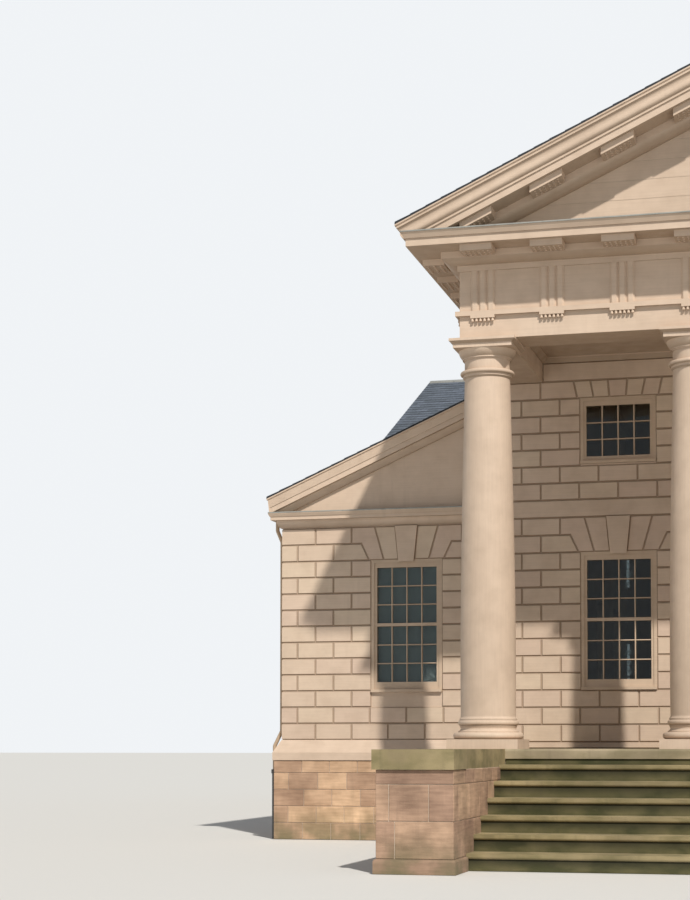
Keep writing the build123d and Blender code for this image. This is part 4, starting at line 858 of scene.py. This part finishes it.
bpy.ops.mesh.primitive_cone_add(vertices=14, radius1=gutta_foot, radius2=gutta_head, depth=gutta_length)
gutta = bpy.context.object
gutta.name = "gutta"
bpy.ops.object.shade_smooth_by_angle(angle=radians(40))
gutta.data.transform(Matrix.Translation((0, 0, -gutta_length / 2)))
gutta.select_set(False)


def peg_cluster(piece, pitch, rows, row_pitch, columns=range(6)):
    """Rows of six pegs, or the part of them in some columns."""
    cluster = []
    for column in columns:
        for row in range(rows):
            place = ((column - 2.5) * pitch, (row - (rows - 1) / 2) * row_pitch, 0)
            cluster.append(copied(piece, "cluster", Matrix.Translation(place)))
    return joined(cluster, "cluster")


def hung(clusters, places, name):
    """Copies of a cluster at several places, with their mirror images, as one dressed piece."""
    laid = [copied(cluster, name, place) for cluster, place in zip(clusters, places)]
    dress(mirrored(joined(laid, name)), trim)


right_half = range(3, 6)
mutule_pitch, mutule_row_pitch = 0.062, 0.085
triglyph_width, triglyph_pitch = 0.31, 0.88
gutta_pitch = triglyph_width / 6
pegs = peg_cluster(peg, mutule_pitch, 3, mutule_row_pitch)
half_pegs = peg_cluster(peg, mutule_pitch, 3, mutule_row_pitch, right_half)
guttae = peg_cluster(gutta, gutta_pitch, 1, 0)
half_guttae = peg_cluster(gutta, gutta_pitch, 1, 0, right_half)
remove(peg, gutta)
half_front_count, side_count, return_count, gable_count, half_back_count = 5, 18, 5, 10, 9
half_beam = beam_width / 2
y_frieze = y_columns - half_beam
y_rear_line, y_back_line = rear_low.y - block_depth, rear_high.y + block_depth
left_line = rear_left - block_depth
back_pitch = (-2 * left_line - beam_width) / (2 * half_back_count)
front_offsets = [-(n + 0.5) * triglyph_pitch for n in range(half_front_count)]
front_places = [wall_place(x, y_frieze, FRONT) for x in front_offsets]
side_places = [wall_place(-half_front, y_frieze + half_beam + n * triglyph_pitch, LEFT)
               for n in range(side_count)]
return_places = [wall_place(left_line + half_beam + n * triglyph_pitch, y_rear_line, FRONT)
                 for n in range(return_count)]
gable_places = [wall_place(left_line, y_rear_line + half_beam + n * triglyph_pitch, LEFT)
                for n in range(gable_count)]
back_places = [wall_place(-(n + 1) * back_pitch, y_back_line, BACK) for n in range(half_back_count)]
back_middle = wall_place(0, y_back_line, BACK)
regula_middle, regula_foot = 0.030, column_high.z + 0.255
under_regula = Matrix.Translation((0, -regula_middle, regula_foot))
triglyphs = [*side_places, *return_places, *gable_places, *back_places]
hung([guttae] * len(triglyphs) + [half_guttae],
     [place @ under_regula for place in (*triglyphs, back_middle)], "guttae")

# The mutules leave out the last triglyph before an inner corner. Those of the raking
# cornices hang square to the slope.
mutule_middle = 0.36
under_mutule = Matrix.Translation((0, -mutule_middle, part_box("front_cornice")[0].z))
roof_slope = 0.46
roof_angle = atan(roof_slope)
roof_low, roof_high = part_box("main_roof_left")
rake_crown, rake_fascia, rake_mutule = 0.21, 0.085, 0.08
rake_mutule_drop = (rake_crown + rake_fascia + rake_mutule) / cos(roof_angle)
apex = roof_low.z + (roof_high.x - roof_low.x) * roof_slope
mutules = [*front_places, *side_places[:-1], *return_places[:-1], *gable_places, *back_places]
places = [place @ under_mutule for place in mutules]
front, gable = wall_place(0, y_frieze, FRONT), wall_place(left_line, rear_middle, LEFT)
for x in front_offsets:
    under_rake = Matrix.Translation((x, -mutule_middle, apex + x * roof_slope - rake_mutule_drop))
    rake_place = under_rake @ Matrix.Rotation(-roof_angle, 4, "Y")
    places += [front @ rake_place, gable @ rake_place, gable @ flip @ rake_place]
hung([pegs] * len(places) + [half_pegs], [*places, back_middle @ under_mutule], "mutule_pegs")
remove(pegs, half_pegs, guttae, half_guttae)


# Lead flashing: pale grey sheet dressed over the level cornices under the gables, with
# its edge turned down over the moulding.
def embossed(tree, height, depth):
    """A normal that follows a height."""
    return put(tree, "Bump", {"Height": height, "Distance": depth}).outputs[0]


lead, tree, shader = new_material("lead_flashing")
place = object_place(tree)
worn = weathered(tree, place, paint(176, 176, 170), paint(112, 112, 108), 0.5, 0.5)
dented = embossed(tree, noise(tree, place, 9.0, 2.0), 0.004)
plug(tree, shader, {"Base Color": worn[0], "Normal": dented, "Roughness": worn[1], "Metallic": 0.35})
lead_thickness, lead_edge, lead_lip = 0.006, 0.003, 0.012
reach = y_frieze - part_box("front_cornice")[0].y
wing_reach = wing_front_low.y - block_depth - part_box("wing_cornices")[0].y
wing_line = wing_left - block_depth
pediment_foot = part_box("front_cornice")[1].z
wing_gable_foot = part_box("wing_raking_cornices")[0].z
half_cornice = half_front + reach
for name, x, y, turn, start, end, depth, top in (
    ("front", 0, y_frieze, FRONT, -half_cornice, half_cornice, reach, pediment_foot),
    ("gable", left_line, rear_middle, LEFT, -half_cornice, half_cornice, reach, pediment_foot),
    ("wing_front", 0, wing_front_low.y - block_depth, FRONT, wing_line - wing_reach, -half_front,
     wing_reach, wing_gable_foot),
    ("wing_back", 0, wing_back_high.y + block_depth, BACK, half_front, -wing_line + wing_reach,
     wing_reach, wing_gable_foot),
):
    sheet = bevelled_block("flashing_" + name, depth + lead_thickness, lead_edge)
    strip = lay(sheet, (start, end), (start, end), top - lead_lip, top + lead_thickness)
    remove(sheet)
    strip.name = "flashing_" + name
    strip = on_wall(strip, x, y, turn)
    if name != "front":
        mirrored(strip)
    dress(strip, lead)
coat(["ridge_caps"], lead)

# Slates: thin split stone, each course lapping the one below, nailed to the boarded
# slopes, whose edges are painted. The slopes of the cross block meet the main roof in
# open valleys.
slate, tree, shader = new_material("slate")
place = object_place(tree)
cleft = noise(tree, squeeze(tree, place, (1.0, 1.0, 2.0)), 22.0, 6.0)
split = mix(tree, stretch(tree, cleft, 0.35, 0.65, 0.0, 1.0), paint(110, 118, 130), paint(84, 92, 104))
worn = weathered(tree, place, own_toned(tree, split, own_value(tree), 0.45), paint(72, 78, 82), 0.4, 0.3)
plug(tree, shader, {
    "Base Color": worn[0],
    "Normal": embossed(tree, cleft, 0.003),
    "Roughness": stretch(tree, worn[1], 0.45, 0.8, 0.5, 0.7),
})
painted_share, slate_share = 0.4, 0.42


def roof_material(name, slope, axis, ridge, foot, depth):
    """Painted edge of a boarded slope, under the ends of the slates that are bedded on it, near black: dark
    slate with painted shade. The slope falls along one axis, away from its ridge; foot is the height of its
    underside at the ridge."""
    material, tree, shader = new_material(name)
    place = object_place(tree)
    worn = weathered(tree, place, timber_colour, timber_dirt_and_shade, 0.4, 0.2)
    parts = put(tree, "SeparateXYZ", {0: place}).outputs
    away = calculate(tree, "ABSOLUTE", calculate(tree, "SUBTRACT", parts[axis], ridge), 0)
    level = calculate(tree, "ADD", parts[2], calculate(tree, "MULTIPLY", away, slope))
    bedded = stretch(tree, level, foot + painted_share * depth, foot + slate_share * depth, 0.0, 1.0)
    # The slates' ends are near black, darker than the slate itself: dark slate with painted shade.
    plug(tree, shader, {"Base Color": mix(tree, bedded, worn[0], paint(46, 47, 50)), "Roughness": worn[1]})
    return material


roof_run = roof_high.x - roof_low.x
slab_rise = roof_high.z - roof_low.z - roof_slope * roof_run
wing_slope = 0.442
wing_roof_low, wing_roof_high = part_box("wing_roofs")
wing_run = -half_front - wing_roof_low.x
wing_rise = wing_roof_high.z - wing_roof_low.z - wing_slope * wing_run
wing_foot = wing_roof_low.z - wing_roof_low.x * wing_slope
coat(["main_roof_left", "main_roof_right"], roof_material("main_roof", roof_slope, 0, 0.0, apex, slab_rise))
coat(["rear_roof_front", "rear_roof_back"],
     roof_material("rear_roof", roof_slope, 1, rear_middle, apex, slab_rise))
coat(["wing_roofs"], roof_material("wing_roof", wing_slope, 0, 0.0, wing_foot, wing_rise))

slate_width, slate_exposure, slate_thickness, slate_edge = 0.25, 0.21, 0.010, 0.0005
slate_head, thinnest, thickest = 0.2, 0.8, 1.15
one_slate = bevelled_block("one_slate", slate_thickness, slate_edge)
for vertex in one_slate.data.vertices:
    if vertex.co.z > 0:
        vertex.co.y *= slate_head


def slated(name, eave, turn, slope, run, left, right, seed):
    """The slates of one slope, from its eave up to its ridge cap, each thinner towards its head. left
    and right are the slope's ends, each at the eave and at the ridge."""
    draw = Random(seed)
    length = run / cos(atan(slope))
    courses = round(length / slate_exposure)
    laid = []
    for number in range(courses):
        low, high = length * number / courses, length * (number + 1) / courses
        shares = (number / courses, (number + 1) / courses)
        ends = [side[0] + (side[1] - side[0]) * share for side in (left, right) for share in shares]
        shift = slate_width / 2 if number % 2 else 0
        count = ceil((max(right) - min(left)) / slate_width) + 1
        joints = [min(left) + shift + n * slate_width for n in range(count)]
        laid += course(one_slate, [ends], joints, low, high, draw, gap=0.003, least=0.06)
    for piece in laid:
        piece.data.transform(Matrix.Scale(draw.uniform(thinnest, thickest), 4, (0, 1, 0)))
    slates = joined(laid, name)
    slates.data.transform(Matrix.Translation(eave) @ Matrix.Rotation(radians(turn), 4, "Z")
                          @ Matrix.Rotation(atan(slope) - radians(90), 4, "X"))
    return slates


top_of_eave = roof_low.z + slab_rise
inset = 0.006
cap_reach = 0.1
rear_roof_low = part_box("rear_roof_back")[0]
valley = rear_middle - roof_run
run = roof_run - cap_reach
gable_edge, wing_eave = rear_roof_low.x, wing_roof_low.z + wing_rise
for seed, (name, eave, turn, slope, slope_run, left, right) in enumerate((
    ("main_slates", (roof_low.x + inset, 0, top_of_eave), LEFT, roof_slope, run,
     (-valley, -rear_middle + cap_reach), (-roof_low.y, -roof_low.y)),
    ("rear_front_slates", (0, valley + inset, top_of_eave), FRONT, roof_slope, run,
     (gable_edge, gable_edge), (-roof_run, -cap_reach)),
    ("rear_back_slates", (0, rear_middle + roof_run - inset, top_of_eave), BACK, roof_slope, run,
     (gable_edge, gable_edge), (-gable_edge, -gable_edge)),
    ("wing_slates", (wing_roof_low.x + inset, 0, wing_eave), LEFT, wing_slope, wing_run,
     (-wing_roof_high.y, -wing_roof_high.y), (-wing_roof_low.y, -wing_roof_low.y)),
), start=31):
    slates = slated(name, eave, turn, slope, slope_run, left, right, seed)
    if name != "rear_back_slates":
        mirrored(slates)
    dress(slates, slate)
remove(one_slate)

# Window bars: thin moulded pine bars that divide each light into panes, four wide and
# three high, tenoned into the sash.
bar_width, bar_depth, bar_front = 0.018, 0.040, 0.012
bar_bevel, level_bar_behind = 0.006, 0.002
upright_bar = bevelled_block("upright_bar", bar_depth, bar_bevel)
level_bar = bevelled_block("level_bar", bar_depth - level_bar_behind, bar_bevel)
half_glass = 0.445
tenon = 0.004
lower_lights = ((deck + 0.967, deck + 1.7815), (deck + 1.8265, deck + 2.641))
upper_lights = ((deck + 4.1022, deck + 4.817),)


def lattice(lights):
    """The bars of one window."""
    laid = []
    for low, high in lights:
        for n in (-1, 0, 1):
            x = n * half_glass / 2
            ends = (x - bar_width / 2, x + bar_width / 2)
            laid.append(lay(upright_bar, ends, ends, low - tenon, high + tenon))
        for n in (1, 2):
            z = low + (high - low) * n / 3
            ends = (-half_glass - tenon, half_glass + tenon)
            laid.append(lay(level_bar, ends, ends, z - bar_width / 2, z + bar_width / 2))
    bars = joined(laid, "bars")
    bars.data.transform(Matrix.Translation((0, bar_front + bar_depth, 0)))
    return bars


lower_bars, upper_bars = lattice(lower_lights), lattice(upper_lights)
remove(upright_bar, level_bar)
half_bars = []
whole_bars = []
every_wall = [*walls, ("rear_back", 0, rear_high.y, BACK, 0, 0, five, five)]
for name, x, y, turn, start, end, lower, upper, *rest in every_wall:
    bars_here = whole_bars if name in ("portico", "rear_back") else half_bars
    for bars, middles in ((lower_bars, lower), (upper_bars, upper)):
        for u in middles:
            bars_here.append(on_wall(copied(bars, "bars", Matrix.Translation((u, 0, 0))), x, y, turn))
side_bars = mirrored(joined(half_bars, "side_window_bars"))
dress(side_bars, sash_paint)
dress(joined(whole_bars, "window_bars"), sash_paint)
remove(lower_bars, upper_bars)

# Glass: old drawn sheets, slightly wavy, held by putty in the sashes and their bars,
# and dark against the rooms behind.
glass, tree, shader = new_material("window_glass")
place = object_place(tree)
plug(tree, shader, {
    "Base Color": (0.62, 0.68, 0.66, 1.0),
    "Normal": embossed(tree, noise(tree, place, 3.5, 1.0), 0.004),
    "Roughness": stretch(tree, noise(tree, place, 11.0, 4.0), 0.45, 0.75, 0.02, 0.1),
    "Transmission Weight": 1.0,
    "IOR": 1.5,
})
coat(["window_glass"], glass)

# Blinds: one plain blue-grey cotton blind behind the front window of each wing, hung
# from the head of the window frame, with a round pole in its hem.
blind_cloth, tree, shader = new_material("blind_cloth")
place = object_place(tree)
threads = noise(tree, squeeze(tree, place, (900.0, 900.0, 60.0)), 1.0, 2.0)
slubs = noise(tree, squeeze(tree, place, (60.0, 60.0, 900.0)), 1.0, 2.0)
weave = calculate(tree, "ADD", threads, slubs)
surface_colour = mix(tree, stretch(tree, weave, 0.8, 1.2, 0.0, 1.0), paint(188, 198, 202), paint(166, 177, 183))
worn = weathered(tree, place, surface_colour, paint(140, 149, 152), 0.3, 0.2)
plug(tree, shader, {"Base Color": worn[0], "Normal": embossed(tree, weave, 0.0006), "Roughness": 0.9})
blind_width, blind_length, cloth_thickness = 0.98, 1.84, 0.0008
blind_top = head - 0.04
blind_behind = 0.108
pole_radius, pole_behind = 0.009, 0.003
for side in (-1, 1):
    bpy.ops.mesh.primitive_grid_add(x_subdivisions=24, y_subdivisions=30, size=1)
    blind = bpy.context.object
    blind.name = "left_blind" if side < 0 else "right_blind"
    bpy.ops.object.mode_set(mode="EDIT")
    bpy.ops.transform.resize(value=(blind_width, blind_length, 1))
    bpy.ops.object.mode_set(mode="OBJECT")
    for vertex in blind.data.vertices:
        x, z, _ = vertex.co
        across, down = x / blind_width, 0.5 - z / blind_length
        ripple = 0.004 * sin(across * 9 + side) * down + 0.002 * sin(across * 23 + 2 * down)
        vertex.co = (side * -wing_window + x, wing_front_low.y + blind_behind + ripple,
                     blind_top - down * blind_length)
    blind.modifiers.new("cloth", "SOLIDIFY").thickness = cloth_thickness
    bpy.ops.object.modifier_apply(modifier="cloth")
    bpy.ops.object.shade_smooth_by_angle(angle=radians(30))
    dress(blind, blind_cloth)
    blind.select_set(False)
    bpy.ops.mesh.primitive_cylinder_add(
        vertices=16, radius=pole_radius, depth=blind_width, rotation=(0, radians(90), 0),
        location=(side * -wing_window, wing_front_low.y + blind_behind + pole_radius + pole_behind,
                  blind_top - blind_length))
    pole = bpy.context.object
    pole.name = "left_blind_pole" if side < 0 else "right_blind_pole"
    pole.modifiers.new("rounded", "BEVEL").width = 0.002
    bpy.ops.object.modifier_apply(modifier="rounded")
    dress(pole, sash_paint)
    pole.select_set(False)

# Entrance: a pair of dark green panelled doors with planted mouldings round the panels,
# a raised field in each panel, and a plain brass knob on the right-hand leaf.
door_paint, tree, shader = new_material("door_paint")
place = object_place(tree)
worn = weathered(tree, place, paint(62, 68, 62), paint(92, 92, 82), 0.25, 0.25)
brushed = noise(tree, squeeze(tree, place, (90.0, 90.0, 4.0)), 1.0, 3.0)
plug(tree, shader, {
    "Base Color": worn[0],
    "Normal": embossed(tree, brushed, 0.0008),
    "Roughness": stretch(tree, worn[1], 0.45, 0.8, 0.35, 0.5),
})
coat(["entrance_doors"], door_paint)
door_low, door_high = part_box("entrance_doors")
door_rail, panel_recess = 0.14, 0.015
leaf_gap = 0.004
panel_width = -leaf_gap / 2 - door_low.x - 2 * door_rail
panel_middle = door_low.x + door_rail + panel_width / 2
panel_room = door_high.z - door_low.z - 4 * door_rail
panel_shares = (0.2, 0.44, 0.36)
moulding_lap = 0.03
field_margin, field_depth, field_bevel = 0.045, 0.010, 0.030
y_panel = door_low.y + panel_recess
upright = Matrix.Rotation(radians(90), 4, "X")
field = bevelled_block("field", field_depth, field_bevel)
planted = []
level = door_low.z + door_rail
for share in panel_shares:
    height = share * panel_room
    ring = moulded_ring("panel_ring", panel_width + moulding_lap, height + moulding_lap, band=0.035,
                        thickness=0.022, moulding=0.012, steps=3, shape=0.6)
    ring.data.transform(Matrix.Translation((panel_middle, y_panel, level + height / 2)) @ upright)
    planted.append(ring)
    ends = (panel_middle - panel_width / 2 + field_margin, panel_middle + panel_width / 2 - field_margin)
    raised = lay(field, ends, ends, level + field_margin, level + height - field_margin)
    raised.data.transform(Matrix.Translation((0, y_panel, 0)))
    planted.append(raised)
    level += height + door_rail
remove(field)
dress(mirrored(joined(planted, "door_mouldings")), door_paint)

casing_head = deck + 2.604
transom_height = casing_head - door_high.z
transom_width, transom_margin, transom_drop = 1.3, 0.14, 0.02
transom = moulded_ring("transom_moulding", transom_width, transom_height - transom_margin, band=0.04,
                       thickness=0.018, moulding=0.010, steps=3, shape=0.6)
z_transom = door_high.z + transom_height / 2 - transom_drop
transom.data.transform(Matrix.Translation((0, y_wall, z_transom)) @ upright)
dress(transom, trim)

brass, tree, shader = new_material("old_brass")
worn = weathered(tree, object_place(tree), paint(168, 134, 76), paint(96, 76, 46), 0.8, 0.0)
polish = stretch(tree, worn[1], 0.45, 0.8, 0.25, 0.4)
plug(tree, shader, {"Base Color": worn[0], "Roughness": polish, "Metallic": 1.0})
# The knob is built up from its rose outwards: each step is its length and its change of width.
knob_steps = ((0.004, 1.0), (0.003, 0.5), (0.022, 1.0), (0.008, 2.0), (0.014, 1.12), (0.010, 0.72),
              (0.004, 0.4))
knob_height, rose_radius = 1.0, 0.026
bpy.ops.mesh.primitive_circle_add(vertices=24, radius=rose_radius, fill_type="NGON")
knob = bpy.context.object
knob.name = "door_knob"
bpy.ops.object.mode_set(mode="EDIT")
for length, widening in knob_steps:
    bpy.ops.mesh.extrude_region_move(TRANSFORM_OT_translate={"value": (0, 0, length)})
    bpy.ops.transform.resize(value=(widening, widening, 1))
bpy.ops.mesh.select_all(action="SELECT")
bpy.ops.mesh.normals_make_consistent(inside=False)
bpy.ops.object.mode_set(mode="OBJECT")
bpy.ops.object.shade_smooth_by_angle(angle=radians(50))
knob.data.transform(Matrix.Translation((door_rail / 2, door_low.y, deck + knob_height)) @ upright)
dress(knob, brass)
knob.select_set(False)

# Floors of the rooms: wide pine boards, worn brown, laid lengthwise side by side and
# nailed down.
boards, tree, shader = new_material("floor_boards")
place = object_place(tree)
across = put(tree, "SeparateXYZ", {0: place}).outputs[0]
board_width = 0.14
count = calculate(tree, "DIVIDE", across, board_width)
position = calculate(tree, "FRACT", count, 0)
tone = put(tree, "TexWhiteNoise", {"W": calculate(tree, "FLOOR", count, 0)}, noise_dimensions="1D").outputs[0]
fibres = noise(tree, squeeze(tree, place, (40.0, 1.5, 1.0)), 1.0, 5.0)
colour = mix(tree, stretch(tree, fibres, 0.4, 0.65, 0.0, 1.0), paint(140, 100, 66), paint(104, 72, 46))
colour = own_toned(tree, colour, tone, 0.3)
joint = stretch(tree, calculate(tree, "PINGPONG", position, 0.5), 0.0, 0.02, 1.0, 0.0)
plug(tree, shader, {"Base Color": mix(tree, joint, colour, paint(44, 30, 20)), "Roughness": 0.55})
coat(["main_floor", "rear_floor", "wing_floors"], boards)

# Rainwater pipes: round sheet-metal pipes painted like the walls, and their cast-iron
# boots at the ground, in worn grey paint.
pipe_paint = timber_material("pipe_paint", colour=paint(200, 174, 146), darker_colour=paint(128, 108, 92))
coat(["downspouts"], pipe_paint)
iron, tree, shader = new_material("grey_iron")
place = object_place(tree)
worn = weathered(tree, place, paint(104, 108, 108), paint(74, 62, 54), 0.6, 0.5)
cast = grained(tree, place, 300.0, 0.001)
plug(tree, shader, {"Base Color": worn[0], "Normal": cast, "Roughness": worn[1]})
coat(["downspout_boots"], iron)
